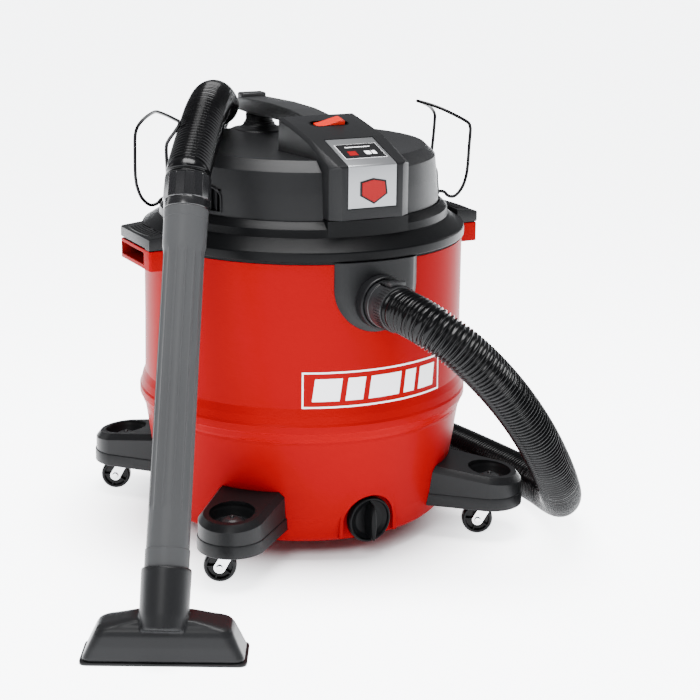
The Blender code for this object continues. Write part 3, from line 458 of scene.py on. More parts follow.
ring_tree, ring_in, ring_out = tree_with_inputs("ring of copies", [
    ("Count", 'Int', 8), ("Step angle", 'Float', 0.5), ("Material", 'Material', None)])
make, link = ring_tree.nodes.new, ring_tree.links.new
spots = make('GeometryNodePoints')
link(ring_in.outputs["Count"], spots.inputs["Count"])
index = make('GeometryNodeInputIndex')
swing = make('ShaderNodeMath')
swing.operation = 'MULTIPLY'
link(index.outputs[0], swing.inputs[0])
link(ring_in.outputs["Step angle"], swing.inputs[1])
about = make('ShaderNodeCombineXYZ')
link(swing.outputs[0], about.inputs["Z"])
copies = make('GeometryNodeInstanceOnPoints')
link(spots.outputs[0], copies.inputs["Points"])
link(ring_in.outputs["Geometry"], copies.inputs["Instance"])
link(about.outputs[0], copies.inputs["Rotation"])
real = make('GeometryNodeRealizeInstances')
link(copies.outputs["Instances"], real.inputs["Geometry"])
paint = make('GeometryNodeSetMaterial')
link(real.outputs["Geometry"], paint.inputs["Geometry"])
link(ring_in.outputs["Material"], paint.inputs["Material"])
link(paint.outputs["Geometry"], ring_out.inputs["Geometry"])

charcoal = moulded("charcoal moulded plastic", (0.0052, 0.0053, 0.0057), 0.40, grain=1400, relief=0.28)
deep_black = moulded("black moulded plastic", (0.0020, 0.0021, 0.0023), 0.33, grain=1200, relief=0.22,
                     shine=0.05)
connector_black = moulded("connector satin black", (0.0090, 0.0092, 0.0098), 0.34, grain=1200, relief=0.10,
                          shine=0.25)

NECK_Y = -0.2080
neck = softened([(0.0238, 0), (0.0272, 0), (0.0276, 0.0244), (0.0306, 0.0262), (0.0312, 0.0400),
                 (0.0302, 0.0404),
                 (0.0302, 0.0412), (0.0306, 0.0416), (0.0298, 0.0520), (0.0294, 0.0705), (0.0238,
                         0.0705)], 0.0006)
connector = finished(spun(neck, 72, at(0, NECK_Y, INLET_Z, FORWARD)), "hose_connector_end", connector_black)
side_slit = block((-0.0127, -0.2620, INLET_Z + 0.0256), (-0.0112, -0.2350, INLET_Z + 0.040))
cross_slit = block((0.0020, -0.2405, INLET_Z + 0.0270), (0.0125, -0.2392, INLET_Z + 0.040))
tab_bed = block((-0.0113, -0.2730, INLET_Z + 0.0252), (0.0113, -0.2425, INLET_Z + 0.040))
carved(connector, [('DIFFERENCE', side_slit), ('DIFFERENCE', cross_slit), ('DIFFERENCE', tab_bed)])
fixed_on(connector, "tank", ["hose_connector"])

rib = block((0.0290, -0.0006, 0.0530), (0.0306, 0.0006, 0.0690), soft=0.0003, steps=1)
grip_ribs = grown(finished(rib, "grip rib", connector_black), ring_tree,
                 {"Count": 48, "Step angle": 2 * math.pi / 48,
                  "Material": connector_black}, "hose_connector_ribs")
grip_ribs.data.transform(at(0, NECK_Y, INLET_Z, FORWARD))
kept = bmesh.new()
kept.from_mesh(grip_ribs.data)
spare = [v for v in kept.verts if abs(v.co.x) < 0.0125 and v.co.z > INLET_Z]
bmesh.ops.delete(kept, geom=spare, context='VERTS')
bmesh.ops.holes_fill(kept, edges=[e for e in kept.edges if e.is_boundary], sides=12)
kept.to_mesh(grip_ribs.data)
kept.free()
fixed_on(grip_ribs, "tank")

tab_side = softened([(-0.2722, INLET_Z + 0.0280), (-0.2430, INLET_Z + 0.0280), (-0.2430, INLET_Z + 0.0322),
                     (-0.2530, INLET_Z + 0.0326),
                     (-0.2640, INLET_Z + 0.0368), (-0.2722, INLET_Z + 0.0372)], 0.0010)
tab_bm = slab(tab_side, -0.0106, 0.0106, 'X', soft=0.0008)
for v in tab_bm.verts:
    v.co.z -= (v.co.x / 0.0106) ** 2 * 0.0022 * min(1.0, max(0.0, (v.co.z - INLET_Z - 0.0282) / 0.004))
release_tab = finished(tab_bm, "release_tab", connector_black)
fixed_on(release_tab, "tab", ["connector_tab"])

# ---------------------------------------------------------------- hose cuff
# A glossy black sleeve with wide flat facets to grip it by, and a plain ring below them that
# pushes over the top of the wand.
along_wand = Matrix.Translation(WAND_FOOT) @ WAND_DIR.to_track_quat('Z', 'Y').to_matrix().to_4x4()
cuff_black = moulded("cuff gloss black", (0.0040, 0.0040, 0.0045), 0.22, grain=700, relief=0.04, shine=0.40)


def faceted(levels, facets, sides, bore, matrix):
    """A tube whose wall turns from round to flat facets: levels of (height, radius, how flat)."""
    bm = bmesh.new()
    rings = []
    for z, radius, flatness in levels:
        row = []
        for k in range(sides):
            turn = 2 * math.pi * k / sides
            within = (turn * facets / (2 * math.pi)) % 1.0 - 0.5
            flat_r = radius * math.cos(math.pi / facets) / math.cos(within * 2 * math.pi / facets)
            groove = 0.0006 if abs(abs(within) - 0.5) < 0.045 else 0.0
            r = radius * (1 - flatness) + (flat_r - groove) * flatness
            row.append(bm.verts.new((r * math.cos(turn), r * math.sin(turn), z)))
        rings.append(row)
    for z in (levels[-1][0], levels[0][0]):
        rings.append([bm.verts.new((bore * math.cos(2 * math.pi * k / sides), bore
                                    * math.sin(2 * math.pi * k / sides), z))
                      for k in range(sides)])
    for i, a in enumerate(rings):
        b = rings[(i + 1) % len(rings)]
        for k in range(sides):
            j = (k + 1) % sides
            bm.faces.new((a[k], a[j], b[j], b[k]))
    bmesh.ops.transform(bm, matrix=matrix, verts=bm.verts)
    return bm


cuff_bm = faceted([(CUFF_LOW - 0.0007, 0.0276, 0), (CUFF_LOW, 0.0284, 0), (CUFF_LOW + 0.0095, 0.0286, 0),
                   (CUFF_LOW + 0.0104, 0.0283, 0), (CUFF_LOW + 0.0112, 0.0298, 1), (CUFF_LOW + 0.0125,
                           0.0303, 1),
                   (CUFF_HIGH - 0.0012, 0.0296, 1), (CUFF_HIGH, 0.0288, 1)], 16, 320, 0.0225, along_wand)
hose_cuff = finished(cuff_bm, "hose_cuff_sleeve", cuff_black, smooth=24)
fixed_on(hose_cuff, "tank", ["hose_cuff"])

# ---------------------------------------------------------------- wand
# A light charcoal blown tube with long flutes down its middle, a plain collar where the cuff sits
# and a plain tapered end that pushes into the floor nozzle.
wand_grey = moulded("wand satin charcoal", (0.0340, 0.0345, 0.0355), 0.36, grain=1100, relief=0.06,
                    shine=0.035)
FLUTES = 14
wand_bm = bmesh.new()
outer = [(0.0300, 0.0262, 0), (0.0650, 0.0264, 0), (0.0790, 0.0265, 0), (0.0800, 0.0257, 0),
         (0.1230, 0.0255, 0), (0.1300, 0.0255, 1),
         (0.2500, 0.0255, 1), (WAND_LENGTH - 0.1000, 0.0255, 1), (WAND_LENGTH - 0.0560, 0.0255, 1),
         (WAND_LENGTH - 0.0500, 0.0256, 0), (WAND_LENGTH - 0.0440, 0.0271, 0), (WAND_LENGTH - 0.0100,
                 0.0275, 0),
         (WAND_LENGTH - 0.0092, 0.0279, 0), (CUFF_LOW - 0.0022, 0.0281, 0), (CUFF_LOW - 0.0010, 0.0276, 0)]
inner = [(CUFF_LOW - 0.0010, 0.0215), (0.0300, 0.0215)]
SIDES = FLUTES * 16
rings = []
for z, radius, fluted in outer:
    row = []
    for k in range(SIDES):
        turn = 2 * math.pi * k / SIDES
        within = abs((turn * FLUTES / (2 * math.pi)) % 1.0
                     - 0.5) * 2          # 0 in the flute's middle, 1 on its edge
        r = radius - fluted * (0.0017 * (1 - within ** 2) if within < 0.86 else 0.0)
        row.append(wand_bm.verts.new((r * math.cos(turn), r * math.sin(turn), z)))
    rings.append(row)
for z, radius in inner:
    rings.append([wand_bm.verts.new((radius * math.cos(2 * math.pi * k / SIDES), radius
                                     * math.sin(2 * math.pi * k / SIDES), z))
                  for k in range(SIDES)])
for i, a in enumerate(rings):
    b = rings[(i + 1) % len(rings)]
    for k in range(SIDES):
        j = (k + 1) % SIDES
        wand_bm.faces.new((a[k], a[j], b[j], b[k]))
bmesh.ops.transform(wand_bm, matrix=along_wand, verts=wand_bm.verts)
fluted_wand = finished(wand_bm, "fluted_wand", wand_grey, smooth=22)
fixed_on(fluted_wand, "tank", ["wand"])

# ---------------------------------------------------------------- floor nozzle
# A satin black moulding: a wide low body with slanted ends and sunk shoulders, and a round socket
# that flows into it and takes the wand. A thin foot runs round its mouth.
nozzle_black = moulded("nozzle satin black", (0.0065, 0.0066, 0.0071), 0.38, grain=1200, relief=0.14)
NOZZLE_PLACE = (-0.3520, -0.3598, 0)
NOZZLE_TURN = math.radians(-27.6)
nozzle_at = Matrix.Translation(NOZZLE_PLACE) @ Matrix.Rotation(NOZZLE_TURN, 4, 'Z')
body_bm = bmesh.new()
rings = []
for z, hx, hy, corner in [(0.0040, 0.0940, 0.0298, 0.010), (0.0060, 0.0942, 0.0300, 0.010),
                          (0.0220, 0.0868, 0.0290, 0.011),
                          (0.0350, 0.0808, 0.0272, 0.012), (0.0405, 0.0775, 0.0250, 0.013), (0.0430, 0.0730,
                                  0.0225, 0.013),
                          (0.0450, 0.0640, 0.0205, 0.012), (0.0480, 0.0500, 0.0195, 0.012), (0.0510, 0.0380,
                                  0.0180, 0.012)]:
    row = []
    for sx, sy, turn in ((1, 1, 0), (-1, 1, 90), (-1, -1, 180), (1, -1, 270)):
        for q in arc(sx * (hx - corner), sy * (hy - corner), corner, turn, turn + 90, 6):
            row.append(body_bm.verts.new((q[0], q[1], z)))
    rings.append(row)
body_bm.faces.new(rings[0])
body_bm.faces.new(rings[-1])
for a, b in zip(rings, rings[1:]):
    for k in range(len(a)):
        j = (k + 1) % len(a)
        body_bm.faces.new((a[k], a[j], b[j], b[k]))
bmesh.ops.triangulate(body_bm, faces=body_bm.faces)
bmesh.ops.transform(body_bm, matrix=nozzle_at, verts=body_bm.verts)
bmesh.ops.recalc_face_normals(body_bm, faces=body_bm.faces)
floor_head = finished(body_bm, "floor_head", nozzle_black)
carved(floor_head, [('UNION', spun([(0, -0.0150), (0.0275, -0.0150), (0.0290, 0.0020), (0.0294, 0.0300),
                                    (0.0297, 0.0560),
                                    (0.0286, 0.0580), (0, 0.0580)], 64, along_wand))])
blend = floor_head.modifiers.new("melt", 'REMESH')
blend.mode = 'VOXEL'
blend.voxel_size = 0.00135
relax = floor_head.modifiers.new("relax", 'SMOOTH')
relax.factor = 0.5
relax.iterations = 9
depsgraph = bpy.context.evaluated_depsgraph_get()
melted = bpy.data.meshes.new_from_object(floor_head.evaluated_get(depsgraph), depsgraph=depsgraph)
floor_head.modifiers.clear()
floor_head.data = melted
below_foot = block((-0.2, -0.1, -0.05), (0.2, 0.1, 0.0040), matrix=nozzle_at)
carved(floor_head, [('DIFFERENCE', block((-0.0860, -0.0220, -0.01), (0.0860, 0.0220, 0.0180),
                                         matrix=nozzle_at)),
                    ('DIFFERENCE', block((-0.0765, -0.0220, 0.0160), (0.0765, 0.0220, 0.0330),
                                         matrix=nozzle_at)),
                    ('DIFFERENCE', spun([(0, -0.0180), (0.0100, -0.0180), (0.0213, 0.0290),
                                         (0.0271, 0.0290), (0.0272, 0.0700),
                                         (0, 0.0700)], 64, along_wand)),
                    ('DIFFERENCE', below_foot)], smooth=40)
floor_head.data.materials.clear()
floor_head.data.materials.append(nozzle_black)
fixed_on(floor_head, "tank", ["floor_nozzle"])

foot_lip = slab(softened([(-0.0970, -0.0320), (0.0970, -0.0320), (0.0970, 0.0320), (-0.0970, 0.0320)],
                         0.010, 4), 0.0003, 0.0037, 'Z',
                soft=0.0006, matrix=nozzle_at)
foot_lip = finished(foot_lip, "nozzle_foot_lip", nozzle_black)
carved(foot_lip, [('DIFFERENCE', block((-0.0868, -0.0228, -0.01), (0.0868, 0.0228, 0.02),
                                       matrix=nozzle_at))])
fixed_on(foot_lip, "tank", ["nozzle_lip"])


# ---------------------------------------------------------------- drum
# One red moulding: a bulged belt, a straight wall above it and a tapering wall below, an arched
# recess for the drain cap and a pocketed ear on each side under the latches. A mark is printed on its front.
tank_red = moulded("tank red plastic", (0.180, 0.0002, 0.0018), 0.34, grain=1500, relief=0.04, drift=0.04,
                   shine=0.010)
# A darker copy of the tank red for faces in the ear pockets and inside the tank: painted shade.
painted_shade_red = moulded("red plastic in shade", (0.11, 0.0006, 0.0005), 0.55, grain=1500, relief=0.05,
                     drift=0.05)
wall = softened([(0.1950, 0.0280), (0.2003, 0.0325), (0.2022, 0.0440), (0.2055, 0.0600), (0.2105, 0.1000),
                 (0.2204, 0.1650, 0),
                 (0.2212, 0.1688, 0.0008), (0.2212, 0.1725, 0.0008), (0.2224, 0.1742, 0.0010), (0.2244,
                         0.1770, 0.0010), (0.2262, 0.1835, 0.0015),
                 (0.2270, 0.1850, 0.0006), (0.2284, 0.1862, 0.0008), (0.2284, 0.1955, 0.0015), (0.2268,
                         0.1985, 0.0015), (0.2245, 0.2080, 0.004),
                 (0.2208, 0.2180, 0.004), (0.2200, 0.3000, 0), (0.2200, 0.4094, 0)], 0.004, 4, closed=False)
drum_bm = spun([(0, 0.0280)] + wall + [(0, 0.4094)], 256)
drum = finished(drum_bm, "red_drum", tank_red)
ears = bmesh.new()
pockets = bmesh.new()
for sx in (-1, 1):
    out = [(sx * 0.2080, -0.0560), (sx * 0.2468, -0.0560), (sx * 0.2493, -0.0535), (sx * 0.2493, 0.0495),
           (sx * 0.2468, 0.0520), (sx * 0.2080, 0.0520)]
    slab(out if sx > 0 else out[::-1], 0.3840, 0.4104, 'Z', soft=0.0009, bm=ears)
    xs = sorted((sx * 0.2222, sx * 0.27))
    block((xs[0], -0.0345, 0.3895), (xs[1], 0.0475, 0.4060), soft=0.0012, bm=pockets)
    xs = sorted((sx * 0.2236, sx * 0.2475))
    block((xs[0], -0.0520, 0.4075), (xs[1], 0.0480, 0.43), bm=pockets)
cavity = [(0.2232, 0.43), (0.2232, 0.4080), (0.2165, 0.4080), (0.2165, 0.2180), (0.2185, 0.1960),
          (0.2185, 0.1860), (0.2165, 0.1710), (0.2065, 0.1000),
          (0.1995, 0.0580), (0.1940, 0.0380), (0.1860, 0.0325), (0, 0.0325), (0, 0.43)]
arch = [(0.0425, 0.0330)] + arc(0, 0.0507, 0.0425, 0, 180, 28) + [(-0.0425, 0.0330)]
recess = [(0.0375, 0.0200)] + arc(0, 0.0517, 0.0375, 0, 180, 28) + [(-0.0375, 0.0200)]
carved(drum, [('UNION', ears), ('DIFFERENCE', spun(cavity, 256)),
              ('UNION', slab(arch, -0.2022, -0.1900, 'Y')),
              ('DIFFERENCE', slab(recess, -0.26, -0.1950, 'Y')), ('DIFFERENCE', pockets),
              ('DIFFERENCE', spun([(0, 0), (0.0145, 0), (0.0145, 0.05), (0, 0.05)], 48,
                                  at(0, -0.175, 0.0547, FORWARD))),
              ('DIFFERENCE', spun([(0, 0), (0.0312, 0), (0.0312, 0.06), (0, 0.06)], 64,
                                  at(0, -0.185, INLET_Z, FORWARD)))], smooth=30)
drum.data.materials.clear()
drum.data.materials.append(tank_red)
drum.data.materials.append(painted_shade_red)


def in_ear_pocket(c, n):
    """A face in the pocket under a latch, but not the rim at its mouth."""
    held = 0.2215 < abs(c.x) < 0.2490 and -0.0346 < c.y < 0.0476 and 0.3894 < c.z < 0.4062
    return held and not (abs(n.x) > 0.5 and abs(c.x) > 0.24)


def in_cavity(c, n):
    """A face of the tank's inside that looks at the axis or up, the drain's recess left out."""
    out = math.hypot(c.x, c.y)
    looks_in = Vector((c.x, c.y, 0)).dot(n) < 0 or n.z > 0.9
    by_drain = abs(c.x) < 0.045 and c.y < -0.18 and c.z < 0.10
    return 0.01 < out < 0.2170 and c.z > 0.0323 and looks_in and not by_drain


# Faces in the ear pockets and on the tank's inside take the darker red, as painted shade.
for poly in drum.data.polygons:
    if in_ear_pocket(poly.center, poly.normal) or in_cavity(poly.center, poly.normal):
        poly.material_index = 1
fixed_on(drum, "tank", ["drum"])

print_white = moulded("printed white", (0.72, 0.72, 0.74), 0.45, grain=1500, relief=0.03, drift=0.03)
print_black = moulded("printed black", (0.0040, 0.0040, 0.0044), 0.40, grain=1500, relief=0.03)
print_red = moulded("printed red", (0.17, 0.0004, 0.0018), 0.35, grain=1500, relief=0.03)


def wrapped(outline, radius, thick, bm, steps_x=0.006):
    """A print on the round wall: an outline of (x along the wall, z), laid on the drum's front."""
    flat = bmesh.new()
    verts = [flat.verts.new((p[0], 0, p[1])) for p in outline]
    flat.faces.new(verts)
    x0, x1 = min(p[0] for p in outline), max(p[0] for p in outline)
    cut = x0 + steps_x
    while cut < x1:
        bmesh.ops.bisect_plane(flat, geom=flat.verts[:] + flat.edges[:] + flat.faces[:],
                               plane_co=(cut, 0, 0), plane_no=(1, 0, 0))
        cut += steps_x
    top = [f for f in flat.faces]
    back = bmesh.ops.extrude_face_region(flat, geom=top)
    moved = {v for v in back["geom"] if isinstance(v, bmesh.types.BMVert)}
    for v in flat.verts:
        r = radius + 0.0008 * (0.300 - v.co.z) / 0.082 + (thick if v in moved else 0.0)
        turn = v.co.x / radius
        v.co = Vector((r * math.sin(turn), -r * math.cos(turn), v.co.z))
    bmesh.ops.recalc_face_normals(flat, faces=flat.faces)
    spare = bpy.data.meshes.new("spare")
    flat.to_mesh(spare)
    flat.free()
    bm.from_mesh(spare)
    bpy.data.meshes.remove(spare)


def flush(bm, name, material, body):
    ob = finished(bm, name, material, merge=False)
    fixed_on(ob, body)
    return ob


mark = bmesh.new()
MX0, MX1, MZ0, MZ1, LINE = -0.1010, 0.1130, 0.2190, 0.2672, 0.0022
for outline in ([(MX0, MZ0), (MX1, MZ0), (MX1, MZ0 + LINE), (MX0, MZ0 + LINE)],
                [(MX0, MZ1 - LINE), (MX1, MZ1 - LINE), (MX1, MZ1), (MX0, MZ1)],
                [(MX0, MZ0 + LINE), (MX0 + LINE, MZ0 + LINE), (MX0 + LINE, MZ1 - LINE), (MX0, MZ1 - LINE)],
                [(MX1 - LINE, MZ0 + LINE), (MX1, MZ0 + LINE), (MX1, MZ1 - LINE), (MX1 - LINE, MZ1 - LINE)]):
    wrapped(outline, 0.2201, 0.0002, mark)
lean = 0.012
for x0, x1 in ((-0.088, -0.052), (-0.044, -0.020), (-0.012, 0.034), (0.042, 0.060), (0.068, 0.098)):
    wrapped([(x0, 0.2280), (x1, 0.2280), (x1 + lean * 0.35, 0.2580), (x0 + lean * 0.35, 0.2580)], 0.2201,
            0.0002, mark)
flush(mark, "printed_mark", print_white, "tank")

# ---------------------------------------------------------------- feet, studs and casters
# Four black arms hug the tank's foot, each with a round well and a domed stud over a swivel
# caster: a bent zinc fork, a riveted axle and a small glossy spoked wheel.
foot_black = moulded("foot satin black", (0.0046, 0.0047, 0.0051), 0.36, grain=1300, relief=0.20)
bright_zinc = moulded("bright zinc plate", (0.66, 0.67, 0.68), 0.26, grain=500, relief=0.05, drift=0.05,
                      metal=1.0)
wheel_black = moulded("wheel gloss black", (0.0036, 0.0036, 0.0040), 0.22, grain=900, relief=0.05)
FOOT_AT = 0.1940
FOOT_S = FOOT_AT * math.sqrt(2)
TRAIL = 0.0155
WHEEL_R = 0.0215
TRAIL_TURN = math.atan2(0.462, -0.887)


def foot_top(s):
    return 0.0935 - 0.114 * (s - FOOT_S)


def foot_ring(grow):
    r = 0.0440 + grow
    tip = arc(FOOT_S, 0, r, -80, 80, 28)
    return [(FOOT_S - 0.098, -0.0480 - grow)] + tip + [(FOOT_S - 0.098, 0.0480 + grow)]


def tank_clear():
    return spun([(0, 0.0277)] + [(r + 0.0004, z) for r, z in wall] + [(0, 0.42)], 128)


for key, (sx, sy) in {"fl": (-1, -1), "fr": (1, -1), "bl": (-1, 1), "br": (1, 1)}.items():
    bm = bmesh.new()
    rings = []
    for z, grow, sloped in [(0.0462, 0.0008, False), (0.0468, 0.0014, False), (0.0622, 0.0014, False),
                            (0.0632, 0.0010, False), (0.0636, 0.0, False),
                            (-0.0078, -0.0002, True), (-0.0066, -0.0010, True), (-0.0012, -0.0058,
                                    True), (0.0, -0.0070, True)]:
        rings.append([bm.verts.new((p[0], p[1], foot_top(p[0]) + z if sloped else z))
                      for p in foot_ring(grow)])
    bm.faces.new(rings[0])
    bm.faces.new(rings[-1])
    for a, b in zip(rings, rings[1:]):
        for k in range(len(a)):
            j = (k + 1) % len(a)
            bm.faces.new((a[k], a[j], b[j], b[k]))
    bmesh.ops.transform(bm, matrix=Matrix.Rotation(math.atan2(sy, sx), 4, 'Z'), verts=bm.verts)
    bmesh.ops.recalc_face_normals(bm, faces=bm.faces)
    foot = finished(bm, "foot_arm_" + key, foot_black)
    cx, cy = sx * FOOT_AT, sy * FOOT_AT
    well = softened([(0, 0.0770), (0.0262, 0.0770, 0.0020), (0.0284, 0.0870, 0.0020), (0.0296, 0.0905),
                     (0.0304, 0.13), (0, 0.13)], 0.0008, 3)
    carved(foot, [('DIFFERENCE', tank_clear()), ('DIFFERENCE', spun(well, 72, at(cx, cy, 0))),
                  ('DIFFERENCE', spun([(0, 0.030), (0.0056, 0.030), (0.0056, 0.065), (0, 0.065)], 32,
                                      at(cx, cy, 0)))], smooth=30)
    fixed_on(foot, "tank", ["foot_" + key])
    stud = softened([(0, 0.0773), (0.0156, 0.0773), (0.0156, 0.0800, 0.0006), (0.0140, 0.0828),
                     (0.0085, 0.0856), (0.0030, 0.0864, 0.0004),
                     (0.0028, 0.0880, 0.0004), (0.0016, 0.0888, 0.0004), (0, 0.0889)], 0.0012, 3)
    fixed_on(finished(spun(stud, 48, at(cx, cy, 0)), "foot_stud_" + key, connector_black), "tank",
             ["foot_screw_" + key])

    turn = at(cx, cy, 0, Matrix.Rotation(TRAIL_TURN, 4, 'Z'))
    low_bend = arc(TRAIL, WHEEL_R, 0.0076, 212, 378, 12)
    cheek = softened([(-0.0070, 0.0454)] + [(0.0040, 0.0270, 0.006)] + low_bend
                     + [(0.0155, 0.0365, 0.006), (0.0146, 0.0454)], 0.0, 3)
    fork_bm = bmesh.new()
    for side in (-1, 1):
        ys = sorted((side * 0.0109, side * 0.0123))
        slab(cheek, ys[0], ys[1], 'Y', soft=0.0003, bm=fork_bm, steps=1)
        slab(softened([(0.0010, 0.0405), (0.0060, 0.0315), (0.0082, 0.0325), (0.0036, 0.0412)], 0.0010, 3),
             min(side * 0.0122, side * 0.0129),
                   max(side * 0.0122, side * 0.0129), 'Y', soft=0.0002, bm=fork_bm, steps=1)
    fork = finished(fork_bm, "caster_fork_plates_" + key, bright_zinc, merge=False)
    crown = slab(softened([(-0.0115, -0.0124), (0.0150, -0.0124), (0.0150, 0.0124), (-0.0115, 0.0124)],
                          0.0030, 4), 0.0440, 0.0456, 'Z', soft=0.0003)
    carved(fork, [('UNION', crown), ('UNION', spun(softened([(0, 0.0445), (0.0050, 0.0445),
            (0.0050, 0.0634), (0.0044, 0.0640), (0, 0.0640)], 0.0), 32)),
                  ('DIFFERENCE', spun([(0, -0.03), (0.0033, -0.03), (0.0033, 0.03), (0, 0.03)], 32,
                                      at(TRAIL, 0, WHEEL_R, FORWARD)))], smooth=30)
    fork.data.transform(turn)
    fixed_on(fork, "caster_" + key, ["caster_fork_" + key])
    axle_at = turn @ Matrix.Translation((TRAIL, 0, WHEEL_R)) @ FORWARD
    pin = softened([(0, -0.0145), (0.0036, -0.0143, 0.0006), (0.0046, -0.0134, 0.0004), (0.0046, -0.0126),
                    (0.0030, -0.0125), (0.0030, 0.0125),
                    (0.0046, 0.0126), (0.0046, 0.0134, 0.0004), (0.0036, 0.0143, 0.0006), (0,
                            0.0145)], 0.0, 3)
    fixed_on(finished(spun(pin, 32, axle_at), "caster_axle_" + key, bright_zinc), "caster_" + key,
             ["axle_" + key])
    tread = softened([(0.0034, -0.0088), (0.0066, -0.0088, 0.0005), (0.0070, -0.0030, 0.001),
                      (0.0160, -0.0030, 0.001), (0.0164, -0.0082, 0.0005),
                      (0.0186, -0.0086, 0.0008), (0.0208, -0.0066, 0.001), (0.0215, -0.0030,
                              0.001), (0.0215, 0.0030, 0.001), (0.0208, 0.0066, 0.001),
                      (0.0186, 0.0086, 0.0008), (0.0164, 0.0082, 0.0005), (0.0160, 0.0030, 0.001), (0.0070,
                              0.0030, 0.001),
                      (0.0066, 0.0088, 0.0005), (0.0034, 0.0088)], 0.0, 3)
    wheel = finished(spun(tread, 64, axle_at), "wheel_tread_" + key, wheel_black)
    fixed_on(wheel, "roller_" + key, ["wheel_" + key])
    spoke = finished(block((0.0060, -0.0011, -0.0078), (0.0168, 0.0011, 0.0078), soft=0.0004, steps=1),
                     "spoke", wheel_black)
    spokes = grown(spoke, ring_tree, {"Count": 5, "Step angle": 2 * math.pi / 5, "Material": wheel_black},
                   "wheel_spokes_" + key)
    spokes.data.transform(axle_at)
    fixed_on(spokes, "roller_" + key)

# ---------------------------------------------------------------- inlet plate
# A U-shaped black plate snapped over the tank's wall below the lid, its edge sloping down to the
# red all round, with a thin ring about the hose opening.
centre_u = Vector((0, INLET_Z + 0.0185))


def u_ring(inset):
    r = 0.0600 - inset
    return [(r, 0.4104)] + [(r * math.cos(math.radians(-180 * k / 36)), centre_u.y + r
                             * math.sin(math.radians(-180 * k / 36))) for k in range(37)] + \
        [(-r, 0.4104)]


plate_bm = bmesh.new()
rings = []
for inset, radius in ((0.0, 0.2204), (0.0, 0.2212), (0.0006, 0.2220), (0.0080, 0.2256), (0.0092, 0.2262),
                      (0.0180, 0.2264), (0.0280, 0.2264)):
    row = []
    for x, z in u_ring(inset):
        row.append(plate_bm.verts.new((x, -math.sqrt(radius ** 2 - x * x), z)))
    rings.append(row)
for a, b in zip(rings, rings[1:]):
    for k in range(len(a) - 1):
        plate_bm.faces.new((a[k], a[k + 1], b[k + 1], b[k]))


def bridge_across(bm, row, radius, middle=8):
    """Fills a U-shaped ring on the round wall with strips from its left side to its right."""
    n = len(row)
    half = n // 2
    a_side = row[:half + 1] if n % 2 else row[:half]
    b_side = row[::-1][:half + 1] if n % 2 else row[::-1][:half]
    grid = []
    for va, vb in zip(a_side, b_side):
        if va is vb:
            grid.append([va] * (middle + 1))
            continue
        line = [va]
        for k in range(1, middle):
            x = va.co.x + (vb.co.x - va.co.x) * k / middle
            z = va.co.z + (vb.co.z - va.co.z) * k / middle
            line.append(bm.verts.new((x, -math.sqrt(radius ** 2 - x * x), z)))
        line.append(vb)
        grid.append(line)
    for a, b in zip(grid, grid[1:]):
        for k in range(middle):
            quad = [a[k], a[k + 1], b[k + 1], b[k]]
            seen = []
            for v in quad:
                if v not in seen:
                    seen.append(v)
            if len(seen) > 2:
                bm.faces.new(seen)
    return grid


front_grid = bridge_across(plate_bm, rings[-1], 0.2264)
back_grid = bridge_across(plate_bm, rings[0], 0.2204)
top_edge_front = [r[0] for r in rings] + front_grid[0][1:-1] + [r[-1] for r in rings][::-1]
top_edge_back = back_grid[0]
bm_face = top_edge_front + top_edge_back[1:-1][::-1]
plate_bm.faces.new(bm_face)
bmesh.ops.recalc_face_normals(plate_bm, faces=plate_bm.faces)
plate = finished(plate_bm, "inlet_cover_plate", foot_black)
collar = softened([(0, 0), (0.0350, 0), (0.0350, 0.0172), (0.0340, 0.0186), (0.0322, 0.0188), (0, 0.0188)],
                  0.0008, 3)
carved(plate, [('UNION', spun(collar, 96, at(0, -0.2212, INLET_Z, FORWARD))),
               ('UNION', spun([(0, 0), (0.0305, 0), (0.0305, 0.0190), (0, 0.0190)], 96,
                              at(0, -0.2040, INLET_Z, FORWARD))),
               ('DIFFERENCE', spun([(0, -0.03), (0.0282, -0.03), (0.0282, 0.0070), (0.0326, 0.0070),
                                    (0.0326, 0.05), (0, 0.05)], 96,
                                   at(0, -0.2250, INLET_Z, FORWARD)))], smooth=26)
fixed_on(plate, "tank", ["inlet_plate"])

# ---------------------------------------------------------------- drain cap
# A screwed black cap in the arched recess: a raised rim, a face dished on both sides, and a
# pointed lens-shaped fin to turn it by.
CAP_Z = 0.0547
CAP_Y = -0.1974
disc = softened([(0, -0.0200), (0.0136, -0.0200), (0.0136, -0.0003), (0.0300, 0.0003), (0.0306, 0.0020),
                 (0.0310, 0.0080, 0.0010),
                 (0.0300, 0.0112, 0.0016), (0.0276, 0.0112, 0.0012), (0.0262, 0.0085, 0.0010), (0.0200,
                         0.0062, 0.004), (0.0, 0.0058)], 0.0, 4)
cap = finished(spun(disc, 96, at(0, CAP_Y, CAP_Z, FORWARD)), "drain_cap_disc", deep_black)
fin_bm = bmesh.new()
rings = []
for out, half_w, top_z, tip_z in ((0.0040, 0.0070, 0.0262, -0.0262), (0.0110, 0.0056, 0.0255, -0.0262),
                                  (0.0180, 0.0046, 0.0235, -0.0266), (0.0218, 0.0036, 0.0200, -0.0262),
                                  (0.0226, 0.0024, 0.0180, -0.0252)):
    row = []
    for k in range(24):
        turn = 2 * math.pi * k / 24
        mid, half = (top_z + tip_z) / 2, (top_z - tip_z) / 2
        z = mid + half * math.cos(turn)
        w = half_w * abs(math.sin(turn)) ** 1.15 * (1 if math.sin(turn) >= 0 else -1)
        row.append(fin_bm.verts.new((w, CAP_Y - out, CAP_Z + z)))
    rings.append(row)
fin_bm.faces.new(rings[0])
fin_bm.faces.new(rings[-1])
for a, b in zip(rings, rings[1:]):
    for k in range(24):
        j = (k + 1) % 24
        fin_bm.faces.new((a[k], a[j], b[j], b[k]))
bmesh.ops.triangulate(fin_bm, faces=fin_bm.faces)
carved(cap, [('UNION', fin_bm)], smooth=34)
fixed_on(cap, "drain", ["drain_cap"])

